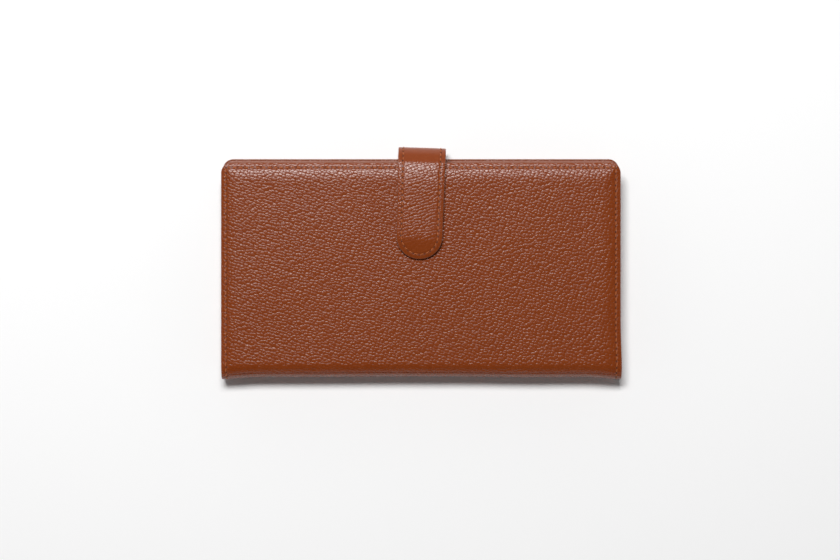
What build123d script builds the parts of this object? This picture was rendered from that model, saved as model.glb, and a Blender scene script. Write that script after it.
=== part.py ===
"""Long wallet that folds along its bottom edge and closes with a snap tab over the top.

The wallet lies on its back. X runs along the long edges, Y from the fold up to the opening
edge, and Z out of the front. The origin is on the back face, at the middle of its outline.
The back half stays put. The cover, which is the front half, opens about the fold, and the
tab unrolls about the top edge. Leather that bends is cut into strips, one on each side of
every hinge line, and each hinge line lies on the inner face, so no strip runs into the next.
All sizes are in millimetres.
"""

from build123d import *
import os
from math import cos, radians, sin

# ---------------------------------------------------------------- driving dimensions
WIDTH = 192.0          # side edge to side edge
HEIGHT = 105.4         # outside of the fold to the back half's top edge
FRONT_SHORT = 2.2      # the cover stops this far short of the back half's top edge
CORNER = 5.0           # radius of the shell's top corners and of the window's
AIR_GAP = 1.6          # between the two halves' innermost pockets, closed

LEATHER = 1.2          # shell leather
LINING = 0.4           # glued cloth behind the shell, and the coin bag's cloth
DIVIDER = 0.6          # doubled cloth wall of a note pocket
CARD_LEATHER = 0.75    # split leather of a card pocket
EDGE_ROUND = 0.35      # rounding of the shell's cut edges

SEAM_INSET = 2.4       # from a cut edge to its line of stitches
THREAD_WIDTH = 0.6
THREAD_DEPTH = 0.3     # how deep the stitches sit in the leather

FOLD_STRIPS = 2        # strips that a folded band is cut into
STRIP_GAP = 0.05       # at each end of a strip
LINING_SHORT = 0.8     # the linings stop this far short of the shell's cut edges
POCKET_START = 1.5     # from the fold to the pockets' closed ends
POCKET_SIDE = 0.6      # the pockets stop this far short of the shell's side edges

CARD_TIERS = 4         # card pockets on the back half
TOP_LIP = 16.5         # from the top edge down to the highest card pocket's lip
TIER_STEP = 12.0       # from one lip down to the next
DIVIDER_SHORT = 4.0    # from the top edge down to a note pocket's lip
DIVIDER_DIP = 7.0      # depth of the thumb cut in the back divider's lip
DIP_RADIUS = 30.0

ZIP_DOWN = 20.0        # from the cover's top edge down to the zip's centre line
ZIP_WINDOW = 9.0       # width of the slot that the zip shows in
ZIP_PANEL = 0.8        # leather on each side of that slot
SLOT_SEAM = 1.6        # from the slot's edge to its line of stitches
ZIP_END = 12.0         # from the side edge to the far end of a stop
TAPE = 0.4
TAPE_REACH = 8.0       # from the zip's centre line to a tape's outer edge
TAPE_EDGE = 1.6        # from the zip's centre line to the tape's corded edge
TOOTH_PITCH = 2.2
TOOTH_WIDTH = 1.0
TOOTH_HEIGHT = 1.4
TOOTH_CROSS = 0.7      # how far a tooth reaches past the centre line
STOP_LENGTH = 1.8

SLIDER_PLATE = 0.6
SLIDER_CLEAR = 0.15    # between the slider's plates and the teeth
SOFT_CLEAR = 0.3       # between the slider and the stops or the cloth behind it
SLIDER_WIDTH = 6.8
SLIDER_NOSE = 4.5      # from the bail's pin to the end that parts the teeth
SLIDER_TAIL = 2.5      # from the bail's pin to the end that lets them out joined
WEDGE_WIDTH = 2.6
BRIDGE_WIDTH = 2.0
BRIDGE_WALL = 0.5
BAIL_WIRE = 0.5        # radius
BAIL_HALF_WIDTH = 1.9  # centre line of the bail's arms
BAIL_CLEAR = 0.25      # between the bail and the slider
BAIL_TO_BACK = 0.35    # left between the upright bail and the back half, closed
PULL_LENGTH = 18.0
PULL_WIDTH = 6.5
PULL_LEATHER = 1.6

BAG_EDGE = 3.0         # width of the coin bag's sewn edge

COLUMN_GAP = 2.0       # between the cover's window pocket and its card pockets
UNDER_ZIP = 11.0       # from the zip's centre line down to the lips below it
FILM = 0.3
FRAME_BORDER = 7.0     # leather left round the window

TAB_WIDTH = 22.4
TAB_LEATHER = 1.0      # outer leather of the tab
TAB_INNER = 0.8        # inner leather of the tab
TAB_REACH = 48.8       # from the front crease to the tab's round end
TAB_OUT = 0.4          # the tab's first crease stands this far beyond the top edge
TAB_LIFT = 0.2         # the tab's outer face lies this far above the back face there
TAB_ROOT = 14.0        # length of the tongue that is sewn into the top seam
TAB_X = 0.5            # the tab crosses the top edge this far right of the middle
TAB_LEAN = -1.8        # degrees that the tab leans from square

SNAP_UP = 12.5         # from the tab's round end to the snap
FLANGE_RADIUS = 4.75
FLANGE = 0.4
NECK_RADIUS = 1.5
NECK = 0.35
HEAD_RADIUS = 1.9
HEAD = 0.35
RIVET_RADIUS = 0.9
RIVET_DISC = 4.0
RIVET_CLEAR = 0.05
SOCKET_RADIUS = 5.25
SOCKET_HEIGHT = 1.3
SOCKET_WEB = 0.3
SOCKET_BORE = 2.3
SOCKET_GROOVE = 2.9
SPRING_WIRE = 0.15     # radius
SPRING_CLEAR = 0.05
SPRING_LEG = 2.1
CAP_RADIUS = 4.6
CAP = 0.5
CAP_FOOT = 0.12
CAP_FOOT_RADIUS = 1.5

# ---------------------------------------------------------------- lines and levels
SHELL = LEATHER + LINING
TURN = 180.0 / (FOLD_STRIPS + 1)

BACK_TOP = HEIGHT / 2
FRONT_TOP = BACK_TOP - FRONT_SHORT
SIDE = WIDTH / 2
POCKET_X = SIDE - POCKET_SIDE

LINING_LEVEL = LEATHER
DIVIDER_LEVEL = SHELL
CARD_LEVEL = DIVIDER_LEVEL + DIVIDER
BACK_STACK = CARD_LEVEL + CARD_TIERS * CARD_LEATHER

COVER_CARDS = BACK_STACK + AIR_GAP          # innermost face of the cover's card pockets
PANEL_LEVEL = COVER_CARDS + 2 * CARD_LEATHER
TAPE_LEVEL = PANEL_LEVEL + ZIP_PANEL
CHAIN = TAPE_LEVEL + TAPE / 2               # mid plane of the zip
PLATE_IN = TOOTH_HEIGHT / 2 + SLIDER_CLEAR  # from the mid plane to a slider plate
PLATE_OUT = PLATE_IN + SLIDER_PLATE
BAG_BACK = CHAIN + PLATE_OUT + SOFT_CLEAR
COVER_DIVIDER = BAG_BACK + LINING
FRONT_LINING = COVER_DIVIDER + DIVIDER
FRONT_LEVEL = FRONT_LINING + LINING
THICKNESS = FRONT_LEVEL + LEATHER

TAB_THICKNESS = TAB_LEATHER + TAB_INNER
TAB_UNDER = THICKNESS + FLANGE + SOCKET_HEIGHT   # the tab's inner face over the front
TAB_START = (BACK_TOP + TAB_OUT, TAB_LIFT + TAB_THICKNESS)


def strip_length(rise):
    """Length of each strip of a band that turns half way round over this rise."""
    return rise / sum(sin(radians(TURN * (k + 1))) for k in range(FOLD_STRIPS))


def crease_points(start, rise, side):
    """The hinge lines (y, z) of a band that leaves start towards side (1 or -1) and comes back over it."""
    y, z = start
    length = strip_length(rise)
    points = [(y, z)]
    for k in range(FOLD_STRIPS):
        angle = radians(TURN * (k + 1))
        y += side * length * cos(angle)
        z += length * sin(angle)
        points.append((y, z))
    return points


def band_reach(rise, thickness):
    """How far a band with this rise stands out past its first hinge line."""
    creases = crease_points((0.0, 0.0), rise, 1)
    return max(
        y + thickness * sin(radians(TURN * (k + 1)))
        for k in range(FOLD_STRIPS)
        for y, z in creases[k:k + 2]
    )


FOLD_DEPTH = band_reach(THICKNESS - 2 * SHELL, SHELL)
FOLD_LINE = -HEIGHT / 2 + FOLD_DEPTH
SPINE_CREASES = crease_points((FOLD_LINE, SHELL), THICKNESS - 2 * SHELL, -1)
TAB_CREASES = crease_points(TAB_START, TAB_UNDER - TAB_START[1], 1)
POCKET_BASE = FOLD_LINE + POCKET_START

PANEL_LIP = FRONT_TOP - DIVIDER_SHORT
CARD_LIPS = [BACK_TOP - TOP_LIP - TIER_STEP * k for k in range(CARD_TIERS)]
ZIP_LINE = FRONT_TOP - ZIP_DOWN
CHAIN_END = SIDE - ZIP_END
STOP_FACE = CHAIN_END - STOP_LENGTH
SLIDER_REST = -STOP_FACE + SOFT_CLEAR + SLIDER_NOSE
SLIDER_TRAVEL = STOP_FACE - SOFT_CLEAR - SLIDER_TAIL - SLIDER_REST
PIN_LEVEL = CHAIN - PLATE_OUT - BAIL_CLEAR - BAIL_WIRE
BAIL_LENGTH = PIN_LEVEL - (CARD_LEVEL + CARD_LEATHER) - BAIL_WIRE - BAIL_TO_BACK
TAB_END = TAB_CREASES[-1][0] - TAB_REACH
SNAP_LINE = TAB_END + SNAP_UP


# ---------------------------------------------------------------- helpers
def box_between(left, right, bottom, top, low, high):
    """A square-cornered block between six planes."""
    block = Box(right - left, top - bottom, high - low)
    return Pos((left + right) / 2, (bottom + top) / 2, (low + high) / 2) * block


def sheet(left, right, bottom, top, low, thickness, corner=0.0):
    """A flat sheet with its two top corners rounded."""
    outline = Rectangle(right - left, top - bottom)
    if corner > 0:
        outline = fillet(outline.vertices().sort_by(Axis.Y)[-2:], corner)
    return Pos((left + right) / 2, (bottom + top) / 2, low) * extrude(outline, thickness)


def seam_band(left, right, bottom, top, low, corner):
    """A line of stitches up one side, across the top and down the other."""
    half = THREAD_WIDTH / 2
    outer = sheet(left - half, right + half, bottom, top + half, low, THREAD_DEPTH, corner + half)
    inner = sheet(left + half, right - half, bottom, top - half, low, THREAD_DEPTH, corner - half)
    return outer - inner


def band_strip(creases, k, side, width, inner, outer):
    """Strip k of a folded band: the layer from inner to outer, measured out from the hinge lines."""
    angle = radians(TURN * (k + 1))
    along = (side * cos(angle), sin(angle))
    out = (side * sin(angle), -cos(angle))
    (y0, z0), (y1, z1) = creases[k], creases[k + 1]
    corners = [
        (y0, z0, STRIP_GAP, inner),
        (y1, z1, -STRIP_GAP, inner),
        (y1, z1, -STRIP_GAP, outer),
        (y0, z0, STRIP_GAP, outer),
    ]
    points = [(y + a * along[0] + n * out[0], z + a * along[1] + n * out[1]) for y, z, a, n in corners]
    return extrude(Plane.YZ * Polygon(*points, align=None), width / 2, both=True)


def disc(radius, low, high):
    """An upright round disc on the local Z axis."""
    return Pos(0, 0, (low + high) / 2) * Cylinder(radius, high - low)


def leaned(shape):
    """Puts what was drawn square to the top edge, about x = 0, where the leaning tab has it."""
    return Pos(TAB_X, BACK_TOP) * Rot(0, 0, TAB_LEAN) * Pos(0, -BACK_TOP) * shape


def at_snap(shape):
    """Puts what was drawn about the Z axis under the tab's snap."""
    return leaned(Pos(0, SNAP_LINE) * shape)


# ---------------------------------------------------------------- shell
def shell_panel(top, level, seam_level, round_face):
    """One half's outer leather, rounded along the cut edges of its outer face and grooved for its seam."""
    panel = sheet(-SIDE, SIDE, FOLD_LINE, top, level, LEATHER, CORNER)
    outer_face = panel.faces().sort_by(Axis.Z)[round_face]
    cut_edges = [e for e in outer_face.edges() if e.center().Y > FOLD_LINE + EDGE_ROUND]
    panel = fillet(cut_edges, EDGE_ROUND)
    return panel - shell_seam(top, seam_level)


def shell_seam(top, seam_level):
    """The stitches round one half's outer leather."""
    inner = SIDE - SEAM_INSET
    return seam_band(-inner, inner, FOLD_LINE, top - SEAM_INSET, seam_level, CORNER - SEAM_INSET)


def shell_lining(top, level):
    """The cloth glued behind one half's outer leather."""
    edge = SIDE - LINING_SHORT
    return sheet(-edge, edge, FOLD_LINE + STRIP_GAP, top - LINING_SHORT, level, LINING, CORNER - LINING_SHORT)


def front_panel():
    hole = at_snap(disc(RIVET_RADIUS + RIVET_CLEAR, FRONT_LEVEL, THICKNESS))
    return shell_panel(FRONT_TOP, FRONT_LEVEL, THICKNESS - THREAD_DEPTH, -1) - hole


def front_lining():
    hole = at_snap(disc(RIVET_DISC + RIVET_CLEAR, FRONT_LINING, FRONT_LEVEL))
    return shell_lining(FRONT_TOP, FRONT_LINING) - hole


def tab_root():
    """The skived tongue of the tab's leather that is sewn between the back panel and its lining."""
    half = TAB_WIDTH / 2
    end = TAB_CREASES[0][0]
    return leaned(box_between(-half, half, end - TAB_ROOT, end, LINING_LEVEL, DIVIDER_LEVEL))


# ---------------------------------------------------------------- pockets of the back half
def bill_divider():
    """The cloth wall of the back note pocket, with a thumb cut in its lip."""
    lip = BACK_TOP - DIVIDER_SHORT
    wall = sheet(-POCKET_X, POCKET_X, POCKET_BASE, lip, DIVIDER_LEVEL, DIVIDER)
    dip = Pos(0, lip - DIVIDER_DIP + DIP_RADIUS) * disc(DIP_RADIUS, DIVIDER_LEVEL, CARD_LEVEL)
    return wall - dip


def card_pocket(k):
    """Card pocket k of the back half, 0 being the highest, grooved where the middle seam shows."""
    level = CARD_LEVEL + CARD_LEATHER * k
    return sheet(-POCKET_X, POCKET_X, POCKET_BASE, CARD_LIPS[k], level, CARD_LEATHER) - middle_seam(k)


def middle_seam(k):
    """The stitches that part card pocket k into two columns, as far down as the next lip."""
    bottom = CARD_LIPS[k + 1] if k + 1 < CARD_TIERS else POCKET_BASE
    top = CARD_LEVEL + CARD_LEATHER * (k + 1)
    half = THREAD_WIDTH / 2
    return box_between(-half, half, bottom, CARD_LIPS[k], top - THREAD_DEPTH, top)


# ---------------------------------------------------------------- pockets of the cover
def zip_panel(side):
    """Leather on one side of the zip's slot, 1 being towards the top edge, grooved for its seam."""
    slot = ZIP_LINE + side * ZIP_WINDOW / 2
    bottom, top = (slot, PANEL_LIP) if side > 0 else (POCKET_BASE, slot)
    return sheet(-POCKET_X, POCKET_X, bottom, top, PANEL_LEVEL, ZIP_PANEL) - slot_seam(side)


def slot_seam(side):
    """The stitches along one side of the zip's slot."""
    y = ZIP_LINE + side * (ZIP_WINDOW / 2 + SLOT_SEAM)
    half = THREAD_WIDTH / 2
    reach = POCKET_X - SEAM_INSET
    return box_between(-reach, reach, y - half, y + half, PANEL_LEVEL, PANEL_LEVEL + THREAD_DEPTH)


def coin_bag_front():
    """The bag's inner cloth, from its closed end up to the zip's lower tape."""
    top = ZIP_LINE - TAPE_REACH
    return sheet(-POCKET_X, POCKET_X, POCKET_BASE, top, TAPE_LEVEL, LINING)


def coin_bag_edge():
    """The bag's folded and sewn edge, which keeps its two cloths apart on all four sides."""
    inner_x = POCKET_X - BAG_EDGE
    outline = (-POCKET_X, POCKET_X, POCKET_BASE, PANEL_LIP)
    whole = box_between(*outline, TAPE_LEVEL, BAG_BACK)
    hollow = box_between(
        -inner_x, inner_x, POCKET_BASE + BAG_EDGE, PANEL_LIP - BAG_EDGE, TAPE_LEVEL, BAG_BACK
    )
    return whole - hollow - coin_bag_front() - zip_tape(1) - zip_tape(-1)


def window_frame():
    """The leather frame of the window pocket, left of the cover's card pockets."""
    left, right, bottom, top = WINDOW
    high = PANEL_LEVEL - FILM
    whole = sheet(left, right, bottom, top, high - CARD_LEATHER, CARD_LEATHER)
    hole = sheet(
        left + FRAME_BORDER, right - FRAME_BORDER, bottom + FRAME_BORDER, top - FRAME_BORDER,
        high - CARD_LEATHER, CARD_LEATHER,
    )
    corners = hole.edges().filter_by(Axis.Z)
    return whole - fillet(corners, CORNER)


WINDOW = (-POCKET_X, -COLUMN_GAP / 2, POCKET_BASE, ZIP_LINE - UNDER_ZIP)


def window_film():
    left, right, bottom, top = WINDOW
    return sheet(left, right, bottom, top, PANEL_LEVEL - FILM, FILM)


def cover_card_pocket(k):
    """Card pocket k of the cover, 0 being the one against the zip's lower panel."""
    lip = ZIP_LINE - UNDER_ZIP - TIER_STEP * k
    level = PANEL_LEVEL - CARD_LEATHER * (k + 1)
    return sheet(COLUMN_GAP / 2, POCKET_X, POCKET_BASE, lip, level, CARD_LEATHER)


# ---------------------------------------------------------------- zip
def zip_tape(side):
    """The woven tape on one side of the zip, 1 being towards the top edge."""
    near, far = sorted((ZIP_LINE + side * TAPE_EDGE, ZIP_LINE + side * TAPE_REACH))
    return box_between(-POCKET_X, POCKET_X, near, far, TAPE_LEVEL, TAPE_LEVEL + TAPE)


def zip_teeth(side):
    """One side's row of teeth, each reaching past the centre line between two of the other row."""
    near, far = sorted((ZIP_LINE - side * TOOTH_CROSS, ZIP_LINE + side * TAPE_EDGE))
    start = SLIDER_REST + SLIDER_TAIL + TOOTH_WIDTH
    shift = TOOTH_PITCH / 2 if side > 0 else 0.0
    count = int((STOP_FACE - start - shift) / TOOTH_PITCH)
    tooth = box_between(
        -TOOTH_WIDTH / 2, TOOTH_WIDTH / 2, near, far, CHAIN - TOOTH_HEIGHT / 2, CHAIN + TOOTH_HEIGHT / 2
    )
    tooth = fillet(tooth.edges().filter_by(Axis.Z), TOOTH_WIDTH / 5)
    return Compound(children=[Pos(start + shift + TOOTH_PITCH * n) * tooth for n in range(count)])


def zip_top_stops():
    """The clamp on each tape's corded edge, where the slider rests with the zip closed."""
    half = TOOTH_HEIGHT / 2
    stops = []
    for side in (-1, 1):
        near, far = sorted((ZIP_LINE + side * SOFT_CLEAR, ZIP_LINE + side * TAPE_EDGE))
        stops.append(box_between(-CHAIN_END, -STOP_FACE, near, far, CHAIN - half, CHAIN + half))
    return Compound(children=stops)


def zip_bottom_stop():
    """The clamp that holds both tapes together at the end of the slider's travel."""
    half = TOOTH_HEIGHT / 2
    near, far = ZIP_LINE - TAPE_EDGE, ZIP_LINE + TAPE_EDGE
    return box_between(STOP_FACE, CHAIN_END, near, far, CHAIN - half, CHAIN + half)


def zip_slider():
    """Two plates joined by the wedge that parts the teeth, with a bridge that holds the bail."""
    half = SLIDER_WIDTH / 2
    plates = [
        box_between(-SLIDER_NOSE, SLIDER_TAIL, -half, half, low, low + SLIDER_PLATE)
        for low in (PLATE_IN, -PLATE_OUT)
    ]
    plates = [fillet(p.edges().filter_by(Axis.Z), half / 2) for p in plates]
    wedge = Pos(-SLIDER_NOSE + WEDGE_WIDTH) * Cylinder(WEDGE_WIDTH / 2, 2 * PLATE_IN)
    low = -PLATE_OUT - BAIL_CLEAR - 2 * BAIL_WIRE - BAIL_CLEAR
    reach = BAIL_LENGTH - PULL_LEATHER / 2 - BAIL_CLEAR
    side = BRIDGE_WIDTH / 2
    bridge = box_between(-reach, reach, -side, side, low - BRIDGE_WALL, -PLATE_OUT)
    bridge = fillet(bridge.edges().filter_by(Axis.Y).sort_by(Axis.Z)[:2], BRIDGE_WALL)
    hole = box_between(-reach + BRIDGE_WALL, reach - BRIDGE_WALL, -side, side, low, -PLATE_OUT)
    return Pos(SLIDER_REST, ZIP_LINE, CHAIN) * (plates[0] + plates[1] + wedge + (bridge - hole))


def wire_loop(points, radius):
    """A closed loop of round wire through these points."""
    path = Polyline(*points, close=True)
    profile = Plane(origin=path @ 0, z_dir=path % 0) * Circle(radius)
    return sweep(profile, path=path, transition=Transition.RIGHT)


def zip_pull_bail():
    """The wire loop that turns in the slider's bridge."""
    half = BAIL_HALF_WIDTH
    middle = (0.0, half, 0.0)
    corners = [(BAIL_LENGTH, half, 0), (BAIL_LENGTH, -half, 0), (0, -half, 0), (0, half, 0)]
    start = (BAIL_LENGTH / 2, middle[1], middle[2])
    loop = wire_loop([start, *corners], BAIL_WIRE)
    return Pos(SLIDER_REST, ZIP_LINE, PIN_LEVEL) * loop


def zip_pull_tab():
    """The leather strip that is folded round the bail's end bar."""
    half = PULL_WIDTH / 2
    hold = PULL_LEATHER / 2
    bar = BAIL_WIRE + RIVET_CLEAR
    strip = Pos(BAIL_LENGTH + PULL_LENGTH / 2) * Box(PULL_LENGTH, PULL_WIDTH, PULL_LEATHER)
    strip = fillet(strip.edges().filter_by(Axis.Z).sort_by(Axis.X)[-2:], half * 0.9)
    strip += Pos(BAIL_LENGTH) * Rot(90, 0, 0) * Cylinder(hold, PULL_WIDTH)
    strip -= Pos(BAIL_LENGTH) * Rot(90, 0, 0) * Cylinder(bar, PULL_WIDTH)
    for side in (-1, 1):
        arm = box_between(0, BAIL_LENGTH + bar, -bar, bar, -hold, hold)
        strip -= Pos(0, side * BAIL_HALF_WIDTH) * arm
    return Pos(SLIDER_REST, ZIP_LINE, PIN_LEVEL) * strip


# ---------------------------------------------------------------- snap
def snap_stud():
    """The stud on the front panel, whose head the spring grips."""
    flange_top = THICKNESS + FLANGE
    neck_top = flange_top + NECK
    stud = disc(FLANGE_RADIUS, THICKNESS, flange_top) + disc(NECK_RADIUS, flange_top, neck_top)
    head = disc(HEAD_RADIUS, neck_top, neck_top + HEAD)
    head = fillet(head.edges().sort_by(Axis.Z)[-1], HEAD / 2)
    bore = disc(RIVET_RADIUS, THICKNESS, neck_top)
    return at_snap(stud + head - bore)


def snap_rivet():
    """The rivet that holds the stud from behind the front panel."""
    pin = disc(RIVET_RADIUS, FRONT_LINING, THICKNESS + FLANGE + NECK)
    return at_snap(disc(RIVET_DISC, FRONT_LINING, FRONT_LEVEL) + pin)


def snap_socket():
    """The socket under the tab: a cup with a bore for the stud and a groove for the spring."""
    low, high = THICKNESS + FLANGE, TAB_UNDER
    cup = disc(SOCKET_RADIUS, low, high)
    cup = fillet(cup.edges().sort_by(Axis.Z)[0], FLANGE / 2)
    cup -= disc(SOCKET_BORE, low, high - SOCKET_WEB)
    cup -= disc(SOCKET_GROOVE, low + SPRING_CLEAR, low + NECK - SPRING_CLEAR / 2)
    return at_snap(cup - disc(RIVET_RADIUS + RIVET_CLEAR, low, high))


def snap_spring():
    """The wire spring that runs past both sides of the stud's neck."""
    offset = NECK_RADIUS + SPRING_CLEAR + SPRING_WIRE
    arc = CenterArc((0, 0), offset, 180, 180)
    legs = [Line((-offset, 0), (-offset, SPRING_LEG)), Line((offset, 0), (offset, SPRING_LEG))]
    path = Wire([legs[0].edge(), arc.edge(), legs[1].edge()])
    profile = Plane(origin=(-offset, SPRING_LEG, 0), z_dir=(0, -1, 0)) * Circle(SPRING_WIRE)
    wire = sweep(profile, path=path)
    return at_snap(Pos(0, 0, THICKNESS + FLANGE + NECK / 2) * wire)


def snap_cap():
    """The cap between the tab's two leathers, whose pin is spread inside the socket."""
    low = TAB_UNDER + TAB_INNER
    web = TAB_UNDER - SOCKET_WEB
    pin = disc(RIVET_RADIUS, web, low)
    foot = disc(CAP_FOOT_RADIUS, web - CAP_FOOT, web)
    return at_snap(disc(CAP_RADIUS, low, low + CAP) + pin + foot)


# ---------------------------------------------------------------- tab
def tab_outline(half, end, top):
    """The tab's flat outline: straight sides and a round end at its lowest Y."""
    straight = Pos(0, (end + half + top) / 2) * Rectangle(2 * half, top - end - half)
    return straight + Pos(0, end + half) * Circle(half)


def tab_layer(low, thickness):
    """One leather of the tab, from the front crease to the round end."""
    top = TAB_CREASES[-1][0] - STRIP_GAP
    return leaned(Pos(0, 0, low) * extrude(tab_outline(TAB_WIDTH / 2, TAB_END, top), thickness))


def tab_seam():
    """The stitches round the tab, in the face of its outer leather."""
    half = THREAD_WIDTH / 2
    level = TAB_UNDER + TAB_THICKNESS - THREAD_DEPTH
    top = TAB_CREASES[-1][0] - STRIP_GAP
    wide, narrow = (TAB_WIDTH / 2 - SEAM_INSET + s * half for s in (1, -1))
    line = tab_outline(wide, TAB_END + SEAM_INSET - half, top)
    line -= tab_outline(narrow, TAB_END + SEAM_INSET + half, top)
    return leaned(Pos(0, 0, level) * extrude(line, THREAD_DEPTH))


def tab_leather_tip():
    low = TAB_UNDER + TAB_INNER
    cap_room = at_snap(disc(CAP_RADIUS + RIVET_CLEAR, low, low + CAP))
    return tab_layer(low, TAB_LEATHER) - tab_seam() - cap_room


def tab_lining_tip():
    hole = at_snap(disc(RIVET_RADIUS + RIVET_CLEAR, TAB_UNDER, TAB_UNDER + TAB_INNER))
    return tab_layer(TAB_UNDER, TAB_INNER) - hole


# ---------------------------------------------------------------- all pieces, by node name
def all_pieces():
    pieces = {
        "back_panel": shell_panel(BACK_TOP, 0.0, 0.0, 0),
        "back_seam_thread": shell_seam(BACK_TOP, 0.0),
        "back_lining": shell_lining(BACK_TOP, LINING_LEVEL) - tab_root(),
        "bill_divider": bill_divider(),
        "card_seam_thread": Compound(children=[middle_seam(k) for k in range(CARD_TIERS)]),
        "tab_root": tab_root(),
        "front_panel": front_panel(),
        "front_seam_thread": shell_seam(FRONT_TOP, THICKNESS - THREAD_DEPTH),
        "front_lining": front_lining(),
        "cover_divider": sheet(-POCKET_X, POCKET_X, POCKET_BASE, PANEL_LIP, COVER_DIVIDER, DIVIDER),
        "coin_bag_back": sheet(-POCKET_X, POCKET_X, POCKET_BASE, PANEL_LIP, BAG_BACK, LINING),
        "coin_bag_front": coin_bag_front(),
        "coin_bag_edge": coin_bag_edge(),
        "zip_panel_upper": zip_panel(1),
        "zip_panel_lower": zip_panel(-1),
        "zip_seam_thread": Compound(children=[slot_seam(1), slot_seam(-1)]),
        "zip_tape_upper": zip_tape(1),
        "zip_tape_lower": zip_tape(-1),
        "zip_teeth_upper": zip_teeth(1),
        "zip_teeth_lower": zip_teeth(-1),
        "zip_top_stops": zip_top_stops(),
        "zip_bottom_stop": zip_bottom_stop(),
        "zip_slider": zip_slider(),
        "zip_pull_bail": zip_pull_bail(),
        "zip_pull_tab": zip_pull_tab(),
        "id_window_frame": window_frame(),
        "id_window_film": window_film(),
        "snap_stud": snap_stud(),
        "snap_rivet": snap_rivet(),
        "snap_socket": snap_socket(),
        "snap_spring": snap_spring(),
        "snap_cap": snap_cap(),
        "tab_leather_tip": tab_leather_tip(),
        "tab_lining_tip": tab_lining_tip(),
        "tab_seam_thread": tab_seam(),
    }
    for k in range(CARD_TIERS):
        pieces[f"card_pocket_{k + 1}"] = card_pocket(k)
    for k in range(2):
        pieces[f"cover_card_pocket_{k + 1}"] = cover_card_pocket(k)
    for k in range(FOLD_STRIPS):
        pieces[f"spine_lining_{k + 1}"] = band_strip(SPINE_CREASES, k, -1, WIDTH, 0, LINING)
        pieces[f"spine_leather_{k + 1}"] = band_strip(SPINE_CREASES, k, -1, WIDTH, LINING, SHELL)
        tab_inner = band_strip(TAB_CREASES, k, 1, TAB_WIDTH, 0, TAB_INNER)
        tab_outer = band_strip(TAB_CREASES, k, 1, TAB_WIDTH, TAB_INNER, TAB_THICKNESS)
        pieces[f"tab_lining_{k + 1}"] = leaned(tab_inner)
        pieces[f"tab_leather_{k + 1}"] = leaned(tab_outer)
    return pieces


os.makedirs("parts", exist_ok=True)
for name, shape in all_pieces().items():
    export_step(shape, f"parts/{name}.step")
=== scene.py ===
# %% [markdown]
# # A long leather wallet with a snap tab
# The wallet lies on its back. Its outside is one piece of pebbled calf leather that runs from the
# front, round the fold and up the back, with a leather tab that comes over the open edge and snaps
# onto the front. Every piece here is cut flat, given its thickness, and then bent to its place, as
# it would be at the bench, so the grain and the stitches follow the leather round every bend.

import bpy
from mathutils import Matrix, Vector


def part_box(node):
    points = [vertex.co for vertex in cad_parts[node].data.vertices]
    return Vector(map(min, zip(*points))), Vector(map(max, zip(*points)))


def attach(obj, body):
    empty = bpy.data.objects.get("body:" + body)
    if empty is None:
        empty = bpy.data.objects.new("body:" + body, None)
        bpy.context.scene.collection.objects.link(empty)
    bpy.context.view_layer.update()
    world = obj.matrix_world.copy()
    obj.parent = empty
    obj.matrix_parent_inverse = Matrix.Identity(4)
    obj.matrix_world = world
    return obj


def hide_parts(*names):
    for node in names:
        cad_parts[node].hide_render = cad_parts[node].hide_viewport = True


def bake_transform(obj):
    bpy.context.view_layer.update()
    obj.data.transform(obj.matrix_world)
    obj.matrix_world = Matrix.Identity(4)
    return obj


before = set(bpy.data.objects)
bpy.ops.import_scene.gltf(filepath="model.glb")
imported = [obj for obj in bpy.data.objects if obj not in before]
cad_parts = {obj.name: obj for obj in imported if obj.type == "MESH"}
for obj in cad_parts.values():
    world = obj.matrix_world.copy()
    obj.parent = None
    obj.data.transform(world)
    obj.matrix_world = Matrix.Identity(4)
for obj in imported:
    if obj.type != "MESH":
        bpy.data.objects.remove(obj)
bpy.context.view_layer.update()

# %% [markdown]
# The sizes come from the frame itself: the box of each node says where its faces are. Lengths are
# kept in millimetres while a piece is cut and bent, because that is how leather is measured, and
# they become metres when the piece is placed.

# %% Read the sizes from the frame
import math
import random

import bmesh
import bpy
import numpy as np
from mathutils import Matrix, Vector, noise

MM = 0.001


def box(node):
    """A node's low and high corner, in millimetres."""
    low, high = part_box(node)
    return [v / MM for v in low], [v / MM for v in high]


SIDE = box("back_panel")[1][0]
BACK_TOP = box("back_panel")[1][1]
FRONT_TOP = box("front_panel")[1][1]
THICK = box("front_panel")[1][2]
SHELL_LEATHER = box("back_panel")[1][2]
FOLD_OUT = box("spine_leather_1")[0][1]
CORNER = 5.0    # radius of the free corners
SEAM = 2.4      # from the cut edge to the stitches
PITCH = 2.8     # from one stitch to the next
SNAP_AT = 16.8  # the snap's place above the middle
print(f"closed size {2 * SIDE:.1f} x {BACK_TOP - FOLD_OUT:.1f} x {THICK:.2f} mm")

# %% [markdown]
# A flat piece of leather starts as a grid. Its rows and columns stand closer together near the cut
# edge, where the seam pulls the leather down and the rim is rounded, and further apart in the
# middle, where little happens.

# %% Cut a flat sheet
EDGE_STEPS = [0.0, 0.5, 0.9, 1.3, 1.7, 2.0, 2.25, 2.55, 2.8, 3.1, 3.6, 4.2, 5.0, 6.0, 7.2]


def lines(low, high, step, fine=(True, True)):
    """Places of grid lines from low to high, closer together at the ends that are fine."""
    steps = [e for e in EDGE_STEPS if e < 0.4 * (high - low)]
    start = [low + e for e in steps] if fine[0] else [low]
    end = [high - e for e in reversed(steps)] if fine[1] else [high]
    gap = end[0] - start[-1]
    count = max(1, round(gap / step))
    middle = [start[-1] + gap * k / count for k in range(1, count)]
    return start + middle + end


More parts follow.
